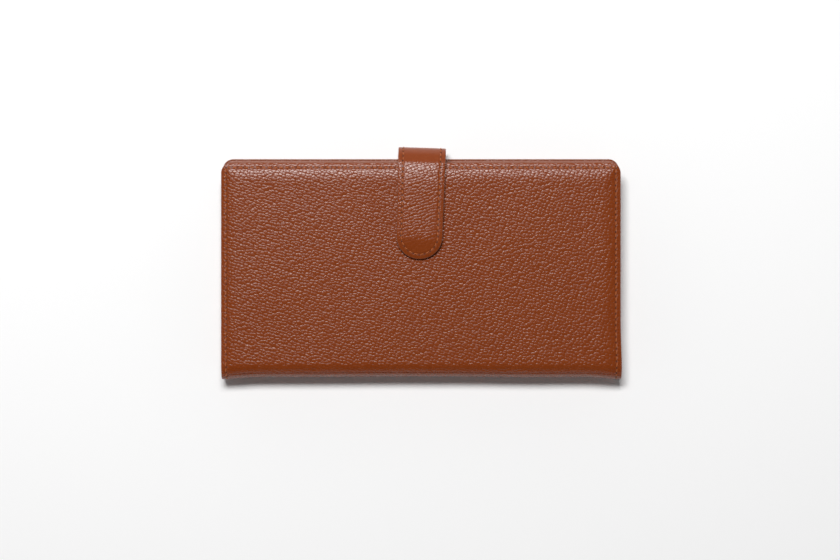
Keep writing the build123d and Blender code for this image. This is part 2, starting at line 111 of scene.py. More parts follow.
def flat_grid(columns, rows):
    """A flat grid whose columns and rows lie at these places."""
    bm = bmesh.new()
    across, along = len(columns) - 1, len(rows) - 1
    bmesh.ops.create_grid(bm, x_segments=across, y_segments=along, size=1.0)
    for v in bm.verts:
        v.co.x = columns[round((v.co.x + 1) / 2 * across)]
        v.co.y = rows[round((v.co.y + 1) / 2 * along)]
    return bm


class Outline:
    """A rectangle whose corners at its low and high ends may be rounded."""

    def __init__(self, left, right, low, high, round_low=0.0, round_high=0.0):
        self.left, self.right, self.low, self.high = left, right, low, high
        self.round_low, self.round_high = round_low, round_high

    def round_corners(self, bm):
        """Draws the grid in to the round corners, keeping its lines parallel to the edge."""
        for v in bm.verts:
            for end, radius, sign in ((self.low, self.round_low, 1),
                                      (self.high, self.round_high, -1)):
                if radius <= 0:
                    continue
                ex = min(v.co.x - self.left, self.right - v.co.x)
                ey = (v.co.y - end) * sign
                if ex < radius and ey < radius:
                    p = Vector((1 - ex / radius, 1 - ey / radius))
                    if p.length > 1e-9:
                        p = p.normalized() * max(p)
                    toward = 1 if v.co.x > (self.left + self.right) / 2 else -1
                    inner_x = self.right - radius if toward > 0 else self.left + radius
                    v.co.x = inner_x + toward * p.x * radius
                    v.co.y = end + sign * radius * (1 - p.y)

    def inset(self, x, y):
        """How far each point lies inside the outline."""
        ex = np.minimum(x - self.left, self.right - x)
        best = np.minimum(ex, np.minimum(y - self.low, self.high - y))
        for end, radius, sign in ((self.low, self.round_low, 1), (self.high, self.round_high, -1)):
            if radius > 0:
                ey = (y - end) * sign
                inside = (ex < radius) & (ey < radius)
                best = np.where(inside, radius - np.hypot(radius - ex, radius - ey), best)
        return best


def give_thickness(bm, thick, rim, keep_ends=()):
    """Turns the flat grid into a sheet with its outer face at z = 0, and rounds its cut edges."""
    bmesh.ops.solidify(bm, geom=bm.faces[:], thickness=thick)
    top = max(v.co.z for v in bm.verts)
    bmesh.ops.translate(bm, vec=(0, 0, -top), verts=bm.verts[:])
    bmesh.ops.recalc_face_normals(bm, faces=bm.faces[:])
    if rim > 0:
        cut = [
            e for e in bm.edges
            if len(e.link_faces) == 2 and e.calc_face_angle(0) > 1.2
            and not any(all(abs(v.co.y - end) < 1e-6 for v in e.verts) for end in keep_ends)
            and abs(e.verts[0].co.z - e.verts[1].co.z) < 1e-6
        ]
        bmesh.ops.bevel(
            bm, geom=cut, offset=rim, segments=2, profile=0.5, affect="EDGES", material=-1,
            clamp_overlap=True,
        )


# %% [markdown]
# Bending is one step for all pieces: a path in the side view says where the outer face goes, and a
# point of the flat sheet is carried to its distance along the path and its depth below it. Real
# leather is bent the same way, wet or warm, over a form.

# %% Bend a sheet along a path
class Path:
    """A line in the side view, of points (y, z), and which side of it the leather lies on."""

    def __init__(self, points, inward, run_on=30.0):
        points = np.array(points, float)
        first = points[0] + (points[0] - points[1]) / np.linalg.norm(points[0] - points[1]) * run_on
        last = points[-1] + (points[-1] - points[-2]) / np.linalg.norm(points[-1]
                                                                       - points[-2]) * run_on
        self.points = np.vstack([first, points, last])
        steps = np.linalg.norm(np.diff(self.points, axis=0), axis=1)
        self.at = np.concatenate([[0.0], np.cumsum(steps)]) - run_on
        self.length = self.at[-2]
        tangent = np.gradient(self.points, self.at, axis=0)
        tangent /= np.linalg.norm(tangent, axis=1)[:, None]
        self.tangent = tangent
        self.normal = np.column_stack([-tangent[:, 1], tangent[:, 0]]) * inward

    def place(self, s, depth):
        """(y, z) of the points at distance s along the path and this far in from it."""
        y = np.interp(s, self.at, self.points[:, 0]) + depth * np.interp(s, self.at,
                                                                         self.normal[:, 0])
        z = np.interp(s, self.at, self.points[:, 1]) + depth * np.interp(s, self.at,
                                                                         self.normal[:, 1])
        return y, z


FOLD_RADIUS = THICK / 2
ARC_Y = FOLD_OUT + FOLD_RADIUS
TURN_STEPS = 48
fold_turn = [math.pi * k / TURN_STEPS for k in range(TURN_STEPS + 1)]
shell_path = Path(
    [(FRONT_TOP, THICK)]
    + [(ARC_Y - FOLD_RADIUS * math.sin(a), FOLD_RADIUS * (1 + math.cos(a))) for a in fold_turn]
    + [(BACK_TOP, 0.0)],
    inward=1,
)
FRONT_RUN = FRONT_TOP - ARC_Y
ARC_RUN = math.pi * FOLD_RADIUS
SHELL_RUN = shell_path.length
print(f"the shell is cut {2 * SIDE:.1f} x {SHELL_RUN:.1f} mm")

# %% [markdown]
# A wallet never stays as flat as a drawing. Its seams press the edges together, so the cover slopes
# down towards its edges, the back lifts a little there, and the two ends of the fold stay fuller
# than its middle. One function does this to every layer by the same rule, so that layers which
# touch go on touching.

# %% Settle the closed wallet
PRESSED = 1.5       # the cover's edges sink this far
PRESS_WIDTH = 9.0
LIFTED = 0.45       # the back's edges rise this far
LIFT_WIDTH = 6.0
FREE_BELOW = 6.8    # the cover's innermost face
FREE_ABOVE = 5.2    # the back half's innermost face


def smooth(t):
    t = np.clip(t, 0.0, 1.0)
    return t * t * (3 - 2 * t)


def settle(x, y, z):
    """Where a point of the closed wallet goes once the seams have pressed its edges."""
    side = SIDE - np.abs(x)
    near = np.clip(np.minimum(side, FRONT_TOP - y) / PRESS_WIDTH, 0, 1)
    share = np.clip((z - FREE_BELOW) / (THICK - FREE_BELOW), 0, 1)
    low_z = z - PRESSED * (1 - near) ** 2 * share
    near = np.clip(np.minimum(side, BACK_TOP - y) / LIFT_WIDTH, 0, 1)
    low_z = low_z + LIFTED * (1 - near) ** 2 * np.clip(1 - z / FREE_ABOVE, 0, 1)
    end = np.clip((np.abs(x) - (SIDE - 17)) / 17, 0, 1) ** 1.5
    down = smooth((-y - 36) / 16)
    new_y = y - 1.25 * end * down + 0.25 * (1 - np.clip(np.abs(x + 10) / 70, 0, 1)) * down
    new_x = x + 0.6 * np.clip((x - (SIDE - 14)) / 14, 0, 1) * smooth((-y - 25) / 26)
    return new_x, new_y, low_z


# %% [markdown]
# The bent sheet keeps two records of the flat one: a UV map that is simply its flat place in
# millimetres, so that grain and weave have their true size everywhere, and an attribute with the
# distance to the cut edge, which tells the material where the rim is dyed and the seam is sunk.

# %% Finish a sheet as an object
def turn_outwards(mesh):
    """A bend can mirror a closed mesh. Its signed volume tells, and then its faces are turned."""
    mesh.calc_loop_triangles()
    corners = np.zeros(len(mesh.loop_triangles) * 3, int)
    mesh.loop_triangles.foreach_get("vertices", corners)
    a, b, c = (coordinates(mesh)[corners.reshape(-1, 3)[:, k]] for k in range(3))
    if np.einsum("ij,ij->i", a, np.cross(b, c)).sum() < 0:
        mesh.flip_normals()


def place_mesh(name, bm, body, nodes, slot, material, blend=None, sharp=50):
    """Makes the object, gives it its finish, hides its CAD nodes, and parents it to its body when
    no blend is given.
    """
    mesh = bpy.data.meshes.new(name)
    bm.to_mesh(mesh)
    bm.free()
    return place_made(name, mesh, body, nodes, slot, material, blend, sharp)


def place_made(name, mesh, body, nodes, slot, material, blend=None, sharp=50):
    turn_outwards(mesh)
    mesh.transform(Matrix.Scale(MM, 4))
    mesh.shade_smooth()
    mesh.set_sharp_from_angle(angle=math.radians(sharp))
    mesh.materials.append(material)
    obj = bpy.data.objects.new(name, mesh)
    bpy.context.scene.collection.objects.link(obj)
    if blend:
        first, second, start, end = blend
        [v * MM for v in start]
        [v * MM for v in end]
        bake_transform(obj)
    else:
        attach(obj, body)
    if nodes:
        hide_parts(*nodes)
    return obj


def coordinates(mesh):
    co = np.zeros(len(mesh.vertices) * 3)
    mesh.vertices.foreach_get("co", co)
    return co.reshape(-1, 3)


def record_flat(mesh, outline):
    """Writes the flat UV map and the distance to the cut edge."""
    co = coordinates(mesh)
    corner = np.zeros(len(mesh.loops), int)
    mesh.loops.foreach_get("vertex_index", corner)
    uv = mesh.uv_layers.new(name="flat")
    flat = np.column_stack([co[:, 0] - co[:, 2], co[:, 1] - co[:, 2]])[corner]
    uv.data.foreach_set("uv", flat.astype(np.float32).ravel())
    edge = mesh.attributes.new("edge", "FLOAT", "POINT")
    edge.data.foreach_set("value", outline.inset(co[:, 0], co[:, 1]).astype(np.float32))


def bent_sheet(name, columns, rows, outline, thick, rim, shape, whole, **finish):
    """Cuts, thickens and bends one sheet. shape(x, s, depth) gives its place, and whole is the
    outline of the full piece that this sheet may be only a part of."""
    bm = flat_grid(columns, rows)
    outline.round_corners(bm)
    ends = [y for y in (outline.low, outline.high) if y not in (whole.low, whole.high)]
    give_thickness(bm, thick, rim, ends)
    mesh = bpy.data.meshes.new(name)
    bm.to_mesh(mesh)
    bm.free()
    record_flat(mesh, whole)
    co = coordinates(mesh)
    x, y, z = shape(co[:, 0], co[:, 1], -co[:, 2])
    mesh.vertices.foreach_set("co", np.column_stack([x, y, z]).ravel())
    mesh.update()
    return place_made(name, mesh, **finish)


# %% [markdown]
# ## Finishes
# Each finish is a Principled shader with effects feeding it. An effect that several finishes use,
# such as pebble grain, weave or a dyed edge with its painted highlight, is a node group, so it is
# drawn once and every material only gives it its own sizes.

# %% Small helpers for node trees
def node(tree, kind, inputs=None, **settings):
    """Adds a node. An input that is a socket is linked, and any other value is set."""
    made = tree.nodes.new("ShaderNode" + kind)
    for name, value in settings.items():
        setattr(made, name, value)
    for name, value in (inputs or {}).items():
        socket = made.inputs[name]
        if isinstance(value, bpy.types.NodeSocket):
            tree.links.new(value, socket)
        else:
            socket.default_value = value
    return made


def calc(tree, operation, a, b=0.0, c=0.0):
    """One Math node's result."""
    return node(tree, "Math", {0: a, 1: b, 2: c}, operation=operation).outputs[0]


def ramp(tree, value, low, high, to_low=0.0, to_high=1.0, kind="SMOOTHSTEP"):
    """A value carried smoothly from one range to another."""
    inputs = {"Value": value, "From Min": low, "From Max": high, "To Min": to_low,
              "To Max": to_high}
    return node(tree, "MapRange", inputs, interpolation_type=kind).outputs["Result"]


def blend_colours(tree, factor, a, b):
    """One colour mixed over another."""
    mix = node(tree, "Mix", data_type="RGBA")
    for index, value in ((0, factor), (6, a), (7, b)):
        if isinstance(value, bpy.types.NodeSocket):
            tree.links.new(value, mix.inputs[index])
        elif index == 0:
            mix.inputs[index].default_value = value
        else:
            mix.inputs[index].default_value = (*value, 1.0)
    return mix.outputs[2]


def effect(name, inputs, outputs):
    """An empty node group with these sockets, and its two ends."""
    tree = bpy.data.node_groups.new(name, "ShaderNodeTree")
    for label, kind, value in inputs:
        socket = tree.interface.new_socket(label, in_out="INPUT", socket_type="NodeSocket" + kind)
        if value is not None:
            socket.default_value = value
    for label, kind in outputs:
        tree.interface.new_socket(label, in_out="OUTPUT", socket_type="NodeSocket" + kind)
    start, end = tree.nodes.new("NodeGroupInput"), tree.nodes.new("NodeGroupOutput")
    return tree, start.outputs, end.inputs


def use(tree, group, inputs):
    """Places a node group in a material and gives back its outputs."""
    made = node(tree, "Group", node_tree=group)
    for name, value in inputs.items():
        if isinstance(value, bpy.types.NodeSocket):
            tree.links.new(value, made.inputs[name])
        else:
            made.inputs[name].default_value = value
    return made.outputs


def finish(name, roughness=0.5, metallic=0.0, **constants):
    """A new material with its Principled shader."""
    material = bpy.data.materials.new(name)
    material.use_nodes = True
    tree = material.node_tree
    shader = next(n for n in tree.nodes if n.type == "BSDF_PRINCIPLED")
    shader.inputs["Roughness"].default_value = roughness
    shader.inputs["Metallic"].default_value = metallic
    for label, value in constants.items():
        shader.inputs[label.replace("_", " ")].default_value = value
    return material, tree, shader


# %% [markdown]
# Pebbled calf is milled until its surface draws up into small rounded cells with narrow valleys.
# Voronoi cells have just that plan. The distance to a cell's edge gives its dome, a second, finer
# set breaks each dome into facets, and noise bends the cells so that no row of them looks drawn.

# %% Effect: pebble grain
def make_pebbles():
    tree, given, out = effect(
        "pebble_grain",
        [("Vector", "Vector", None), ("Cell Width", "Float", 1.8), ("Cell Height", "Float", 1.4),
         ("Plain", "Float", 0.0)],
        [("Height", "Float"), ("Valley Shade", "Float"), ("Tint", "Float"), ("Broad", "Float")],
    )
    warp = node(tree, "TexNoise", {"Vector": given["Vector"], "Scale": 0.35, "Detail": 2.0},
                noise_dimensions="2D").outputs["Color"]
    warp = node(tree, "VectorMath", {0: warp, 1: (0.5, 0.5, 0.5)}, operation="SUBTRACT").outputs[0]
    bent = node(tree, "VectorMath", {0: warp, 1: (1.0, 1.0, 0.0), 2: given["Vector"]},
                operation="MULTIPLY_ADD").outputs[0]
    turned = node(tree, "VectorRotate", {"Vector": bent, "Angle": -0.32},
                  rotation_type="Z_AXIS").outputs[0]
    cell = node(tree, "CombineXYZ", {"X": given["Cell Width"], "Y": given["Cell Height"],
                                     "Z": 1.0}).outputs[0]
    grid = node(tree, "VectorMath", {0: turned, 1: cell}, operation="DIVIDE").outputs[0]
    gap = node(tree, "TexVoronoi", {"Vector": grid, "Scale": 1.0, "Randomness": 0.7},
               voronoi_dimensions="2D", feature="DISTANCE_TO_EDGE").outputs["Distance"]
    pebble = node(tree, "TexVoronoi", {"Vector": grid, "Scale": 1.0, "Randomness": 0.7},
                  voronoi_dimensions="2D", feature="F1")
    away = pebble.outputs["Distance"]
    dome = calc(tree, "MULTIPLY_ADD", calc(tree, "MULTIPLY", away, away), -1.6, 1.0)
    dome = calc(tree, "MULTIPLY_ADD", ramp(tree, gap, 0.14, 0.0), -0.22, dome)
    tint = node(tree, "SeparateColor", {0: pebble.outputs["Color"]}).outputs[0]
    small = node(tree, "TexVoronoi", {"Vector": grid, "Scale": 2.7, "Randomness": 1.0},
                 voronoi_dimensions="2D", feature="SMOOTH_F1").outputs["Distance"]
    fine = node(tree, "TexNoise", {"Vector": given["Vector"], "Scale": 3.6, "Detail": 3.0},
                noise_dimensions="2D").outputs[0]
    broad = node(tree, "TexNoise", {"Vector": given["Vector"], "Scale": 0.045, "Detail": 3.0},
                 noise_dimensions="2D").outputs[0]
    high = calc(tree, "MULTIPLY_ADD", tint, 0.3, 0.7)
    height = calc(tree, "MULTIPLY", dome, high)
    height = calc(tree, "MULTIPLY_ADD", small, -0.12, height)
    keep = calc(tree, "MULTIPLY_ADD", given["Plain"], -0.9, 1.0)
    height = calc(tree, "MULTIPLY", height, keep)
    height = calc(tree, "MULTIPLY_ADD", fine, 0.05, height)
    tree.links.new(height, out["Height"])
    # the valley mask, which the calf uses for painted shade
    tree.links.new(calc(tree, "MULTIPLY", ramp(tree, gap, 0.16, 0.0), keep), out["Valley Shade"])
    tree.links.new(tint, out["Tint"])
    tree.links.new(broad, out["Broad"])
    return tree


PEBBLES = make_pebbles()
print("effect:", PEBBLES.name)

# %% [markdown]
# A cut edge of leather is rubbed down, dyed and rubbed again, so it is smoother than the face. On
# the tan calf its colour is the dye with a painted highlight in it, paler and pinker than the face,
# and a band beside it is painted lighter still, as highlight where the rounded edge would catch the
# light.
# The seam runs at one distance from the edge; wax dulls it, and its groove is darkened with painted
# shade. All three need only the distance to the edge that every sheet carries.

# %% Effect: dyed rim and seam
def make_rim():
    tree, given, out = effect(
        "dyed_rim_and_painted_light", [("Edge", "Float", 10.0), ("Vector", "Vector", None)],
        [("Rim", "Float"), ("Rim Highlight", "Float"), ("Seam", "Float")],
    )
    wander = node(tree, "TexNoise", {"Vector": given["Vector"], "Scale": 0.5, "Detail": 3.0},
                  noise_dimensions="2D").outputs[0]
    edge = calc(tree, "MULTIPLY_ADD", calc(tree, "SUBTRACT", wander, 0.5), 0.35, given["Edge"])
    tree.links.new(ramp(tree, edge, 0.22, 0.02), out["Rim"])
    # painted highlight: a band just inside the rim, where the rounded edge would catch the light
    rim_highlight = calc(tree, "MULTIPLY", ramp(tree, edge, 0.15, 0.4), ramp(tree, edge, 1.3, 0.5))
    tree.links.new(rim_highlight, out["Rim Highlight"])
    # the seam mask: the calf darkens the groove with it as painted shade, and dulls its roughness
    off = calc(tree, "ABSOLUTE", calc(tree, "SUBTRACT", given["Edge"], SEAM))
    tree.links.new(ramp(tree, off, 0.75, 0.1), out["Seam"])
    return tree


RIM = make_rim()
print("effect:", RIM.name)


# %% [markdown]
# The outer calf is a warm tan. Each pebble is paler than the base by a random amount, and the
# valleys between them are darkened with painted shade. Its wax finish gives each pebble one soft
# glint, which roughness and bump carry.

# %% Finish: tan calf
UNEVEN_DYE = 0.5    # how far one pebble's colour may stand off its neighbour's


def calf(name, base, deep, pale, edge_colour, bump, cell=(1.8, 1.4), roughness=0.275, **constants):
    """Leather of one colour, with pebbles of one size."""
    material, tree, shader = finish(name, roughness, **constants)
    flat = node(tree, "UVMap", uv_map="flat").outputs[0]
    edge = node(tree, "Attribute", attribute_name="edge").outputs["Fac"]
    plain = node(tree, "Attribute", attribute_name="plain").outputs["Fac"]
    grain = use(tree, PEBBLES, {"Vector": flat, "Cell Width": cell[0], "Cell Height": cell[1],
                                "Plain": plain})
    rim = use(tree, RIM, {"Edge": edge, "Vector": flat})
    colour = blend_colours(tree, ramp(tree, grain["Tint"], 0.1, 0.9, 0.0, UNEVEN_DYE, "LINEAR"),
                           base, pale)
    # painted shade: the valleys between the pebbles are darkened
    colour = blend_colours(tree, calc(tree, "MULTIPLY", grain["Valley Shade"], 0.5), colour, deep)
    colour = blend_colours(tree, ramp(tree, grain["Broad"], 0.35, 0.65, 0.0, 0.16), colour, pale)
    # painted shade: the seam's groove is darkened
    colour = blend_colours(tree, calc(tree, "MULTIPLY", rim["Seam"], 0.35), colour, deep)
    # painted highlight: the band beside the rim is lightened
    colour = blend_colours(tree, calc(tree, "MULTIPLY", rim["Rim Highlight"], 0.35), colour, pale)
    # the rim takes the edge colour; on the tan calf that colour holds a painted highlight
    colour = blend_colours(tree, rim["Rim"], colour, edge_colour)
    tree.links.new(colour, shader.inputs["Base Color"])
    rough = ramp(tree, grain["Height"], 0.2, 1.0, roughness + 0.05, roughness - 0.01, "LINEAR")
    rough = calc(tree, "MULTIPLY_ADD", rim["Rim"], 0.08, rough)
    rough = calc(tree, "MULTIPLY_ADD", rim["Seam"], 0.16, rough)
    tree.links.new(rough, shader.inputs["Roughness"])
    lumps = node(tree, "Bump", {"Height": grain["Height"], "Strength": 1.0, "Distance": bump})
    tree.links.new(lumps.outputs[0], shader.inputs["Normal"])
    return material


TAN = (0.203, 0.0365, 0.0045)
# painted shade colour for the pebble valleys and the seam groove
TAN_PAINTED_SHADE = (0.165, 0.028, 0.0034)
TAN_PALE = (0.225, 0.046, 0.0085)
# the dyed edge's own colour with a painted highlight in it, paler and pinker than the face
TAN_EDGE_WITH_HIGHLIGHT = (0.200, 0.080, 0.055)
tan_calf = calf("tan_calf", TAN, TAN_PAINTED_SHADE, TAN_PALE, TAN_EDGE_WITH_HIGHLIGHT, bump=0.00013, roughness=0.25,
                Specular_IOR_Level=0.36)
print("finish:", tan_calf.name)

# %% [markdown]
# The seams are sewn with thick waxed thread in a lighter tan. It is two strands twisted together,
# and the twist shows as slanting ridges, with painted shade darkening the grooves between them.

# %% Finish: waxed thread
def thread_finish(name, colour):
    material, tree, shader = finish(name, 0.48)
    turns = node(tree, "UVMap", uv_map="flat").outputs[0]
    ridges = node(tree, "TexWave", {"Vector": turns, "Scale": 3.2, "Distortion": 0.6,
                                    "Detail": 1.0},
                  wave_type="BANDS", bands_direction="DIAGONAL").outputs["Fac"]
    # painted shade: the grooves between the twisted strands are darkened
    painted_gap_shade = tuple(c * 0.45 for c in colour)
    tree.links.new(blend_colours(tree, ramp(tree, ridges, 0.05, 0.6), painted_gap_shade, colour),
                   shader.inputs["Base Color"])
    lumps = node(tree, "Bump", {"Height": ridges, "Strength": 0.7, "Distance": 0.00012})
    tree.links.new(lumps.outputs[0], shader.inputs["Normal"])
    return material


tan_thread = thread_finish("tan_thread", (0.50, 0.125, 0.022))
# painted shade: a near-black finish for the discs that stand for the awl holes
awl_hole_shade = finish("awl_hole_shade", 0.8, Base_Color=(0.030, 0.008, 0.003, 1.0))[0]
print("finish:", tan_thread.name)


# %% [markdown]
# ## The shell
# One piece of calf goes round the whole wallet. It is cut here in three at the middle of the fold's
# two hinged strips, and the parts meet exactly.

# %% Cut and bend the shell
GROOVE, GROOVE_WIDTH = 0.26, 0.5        # the thread pulls the leather down this far
RIM_DROP, RIM_WIDTH = 0.16, 0.9         # and the rim is rubbed down
WAVE_SIZE, WAVE_HEIGHT = 34.0, 0.16


def undulate(x, s, size, tall):
    """Low waves that a soft hand-cut sheet keeps."""
    return np.array([noise.noise(Vector((a / size, b / size, 3.1))) for a, b in zip(x, s)]) * tall


class Shell:
    """Places points of the shell's flat leather, and of layers under it."""

    def __init__(self, under, outline, thick):
        self.under, self.outline, self.thick = under, outline, thick

    def __call__(self, x, s, depth):
        inside = self.outline.inset(x, s)
        face = np.clip(1 - depth / (0.6 * self.thick), 0, 1)
        if self.under == 0:
            square = np.minimum(SIDE - np.abs(x), np.minimum(s, SHELL_RUN - s))
            groove = GROOVE * np.exp(-((square - SEAM) / GROOVE_WIDTH) ** 2)
            pull = groove + RIM_DROP * np.exp(-inside / RIM_WIDTH)
            depth = depth + pull * face
            off_snap = smooth((np.hypot(x, s - (FRONT_TOP - SNAP_AT)) - 6) / 20)
            waves = undulate(x, s, WAVE_SIZE, WAVE_HEIGHT) * np.clip(inside / 10, 0, 1)
            depth = depth - waves * face * off_snap
        y, z = shell_path.place(s, depth + self.under)
        return settle(x, y, z)


shell_outline = Outline(-SIDE, SIDE, 0, SHELL_RUN, CORNER, CORNER)
CUT_1 = FRONT_RUN + ARC_RUN * 45 / 180
CUT_2 = FRONT_RUN + ARC_RUN * 135 / 180


def fold_point(angle, under=0.0):
    a = math.radians(angle)
    r = FOLD_RADIUS - under
    return (0.0, ARC_Y - r * math.sin(a), FOLD_RADIUS + r * math.cos(a))


FOLD_PARTS = {
    "front": (0, CUT_1, ("fold_2", "cover", fold_point(45), (0, ARC_Y + 2.5, THICK))),
    "fold": (CUT_1, CUT_2, ("fold_1", "fold_2", fold_point(135), fold_point(45))),
    "back": (CUT_2, SHELL_RUN, ("base", "fold_1", (0, ARC_Y + 2.5, 0), fold_point(135))),
}
SHELL_NODES = {
    "front": ["front_panel"], "fold": ["spine_leather_1", "spine_leather_2"],
    "back": ["back_panel"],
}


def shell_rows(low, high, step):
    """Rows of the shell between two places: close in the fold, fine at the cut edges."""
    arc = [FRONT_RUN + ARC_RUN * k / TURN_STEPS for k in range(TURN_STEPS + 1)]
    rows = lines(0, FRONT_RUN - 1.0, step, (True, False)) + arc
    rows += lines(FRONT_RUN + ARC_RUN + 1.0, SHELL_RUN, step, (False, True))
    rows = [r for r in rows if low + 0.15 < r < high - 0.15]
    return [low] + rows + [high]


SHELL_COLUMNS = lines(-SIDE, SIDE, 1.6)
shell_shape = Shell(0, shell_outline, SHELL_LEATHER)
for part, (low, high, blend) in FOLD_PARTS.items():
    piece = bent_sheet(
        f"shell_leather_{part}", SHELL_COLUMNS, shell_rows(low, high, 1.5),
        Outline(-SIDE, SIDE, low, high, CORNER if low == 0 else 0,
                CORNER if high == SHELL_RUN else 0),
        SHELL_LEATHER, 0.3, shell_shape, shell_outline,
        body=None, nodes=SHELL_NODES[part], slot="tan_leather", material=tan_calf, blend=blend,
    )
    print(piece.name, len(piece.data.polygons), "faces")


# %% [markdown]
# A saddle stitch shows as short beads of thread lying in a groove, each leaning a little, with its
# ends pulled down into the awl's holes. Each stitch here is a stretched sphere of a few dozen
# faces, laid on the leather's own bent surface, and each hole is a flat dark disc of painted shade.

# %% Sew a line of stitches
def along_line(points, pitch, closed=False):
    """Middles and directions of stitches of one pitch along a line of flat points."""
    points = [Vector(p) for p in points]
    if closed:
        points.append(points[0])
    spans = [(a, b, (b - a).length) for a, b in zip(points, points[1:])]
    total = sum(length for _, _, length in spans)
    count = round(total / pitch)
    result, walked, k = [], 0.0, 0
    for n in range(count):
        target = (n + 0.5) * total / count
        while walked + spans[k][2] < target:
            walked += spans[k][2]
            k += 1
        a, b, length = spans[k]
        way = (b - a) / length
        result.append((a + way * (target - walked), way))
    return result


def stitches(name, middles, shape, depth, length=1.95, radius=0.32, lean=9.0, jitter=0.05,
             hole=0.30, **finish):
    """One object with a bead of thread for every stitch. shape(x, s, depth) places it."""
    dice = random.Random(name)
    bm = bmesh.new()
    bm.loops.layers.uv.new("flat")
    for middle, way in middles:
        angle = math.radians(lean + dice.uniform(-3, 3))
        way = Vector((way.x * math.cos(angle) - way.y * math.sin(angle),
                      way.x * math.sin(angle) + way.y * math.cos(angle)))
        middle = middle + Vector((dice.uniform(-jitter, jitter), dice.uniform(-jitter, jitter)))
        reach = length / 2 + dice.uniform(-0.06, 0.06)
        flat = [middle - way * reach, middle, middle + way * reach, middle]
        deep = [depth, depth, depth, depth + 0.5]
        x, y, z = shape(np.array([p.x for p in flat]), np.array([p.y for p in flat]),
                        np.array(deep))
        points = [Vector(p) for p in zip(x, y, z)]
        forth = (points[2] - points[0]) / 2
        up = (points[1] - points[3]).normalized()
        side = forth.normalized().cross(up).normalized()
        up = side.cross(forth.normalized())
        matrix = Matrix((side * radius, up * radius, forth)).transposed().to_4x4()
        matrix.translation = points[1] + up * 0.06
        bmesh.ops.create_uvsphere(bm, u_segments=8, v_segments=6, radius=1.0, matrix=matrix,
                                  calc_uvs=True)
        forth = forth.normalized()
        # painted shade: a flat dark disc on the surface stands for the shadow in the awl hole
        matrix = Matrix((side * hole, up * 0.12, forth * hole * 1.25)).transposed().to_4x4()
        matrix.translation = points[2] + forth * (PITCH / 2 - reach) - up * 0.02
        made = bmesh.ops.create_uvsphere(bm, u_segments=6, v_segments=4, radius=1.0, matrix=matrix)
        for face in {f for v in made["verts"] for f in v.link_faces}:
            face.material_index = 1
    obj = place_mesh(name, bm, finish.pop("body", None), finish.pop("nodes", []), "thread",
                     finish.pop("material", tan_thread), finish.pop("blend", None), sharp=80)
    obj.data.materials.append(awl_hole_shade)
    return obj


seam_line = [
    (-SIDE + SEAM, SEAM), (SIDE - SEAM, SEAM),
    (SIDE - SEAM, SHELL_RUN - SEAM), (-SIDE + SEAM, SHELL_RUN - SEAM),
]
seam_middles = along_line(seam_line, PITCH, closed=True)
SEAM_NODES = {"front": ["front_seam_thread"], "fold": [], "back": ["back_seam_thread"]}
for part, (low, high, blend) in FOLD_PARTS.items():
    row = [m for m in seam_middles if low <= m[0].y < high]
    stitches(f"shell_stitches_{part}", row, shell_shape, -0.02, blend=blend, nodes=SEAM_NODES[part])
print(len(seam_middles), "stitches round the shell")

# %% [markdown]
# ## The tab
# Two leathers sewn back to back. They leave the top seam as a thin tongue, thicken as they come
# out, go over the top in a high arch, and lie down along the front to the round end. The side view
# is drawn by its slope: a list says how steeply the leather runs at each distance from the round
# end.

# %% Draw the tab's side view
TAB_X, TAB_LEAN = 0.5, math.radians(-1.8)
SNAP_RUN = 13.0
TAB_SLOPE = [
    (0, 14), (7.5, 9), (13, 0), (33, 0), (40, -5), (46.7, -14.5), (46.71, -27), (51.4, -32),
    (58.5, -88), (59.7, -92), (67.9, -184), (70.2, -184), (71.2, -180), (86, -180),
]
TAB_CREASE = 46.7
TAB_CUT_2, TAB_CUT_1 = 55.0, 62.2
TAB_RUN = 80.0
snap_low, snap_high = box("snap_cap")
SNAP_Y = (snap_low[1] + snap_high[1]) / 2
TAB_TOP = box("tab_leather_tip")[1][2]
TAB_OUTER = TAB_TOP - box("tab_leather_tip")[0][2]
TAB_INNER = box("tab_lining_tip")[1][2] - box("tab_lining_tip")[0][2]
TAB_HALF = 11.2


def side_view():
    """The tab's outer face as points (y, z), from its round end to the end of its tongue."""
    step = 0.1
    s = np.arange(0, TAB_RUN, step)
    slope = np.radians(np.interp(s + step / 2, [k[0] for k in TAB_SLOPE],
                                 [k[1] for k in TAB_SLOPE]))
    y = np.concatenate([[0], np.cumsum(np.cos(slope) * step)])
    z = np.concatenate([[0], np.cumsum(np.sin(slope) * step)])
    at = round(SNAP_RUN / step)
    return list(zip(y - y[at] + SNAP_Y, z - z[at] + TAB_TOP))


tab_points = side_view()
tab_path = Path(tab_points, inward=-1)
print("the tab's round end is at y", round(tab_points[0][0], 2), "and its arch reaches",
      round(max(p[0] for p in tab_points), 2))


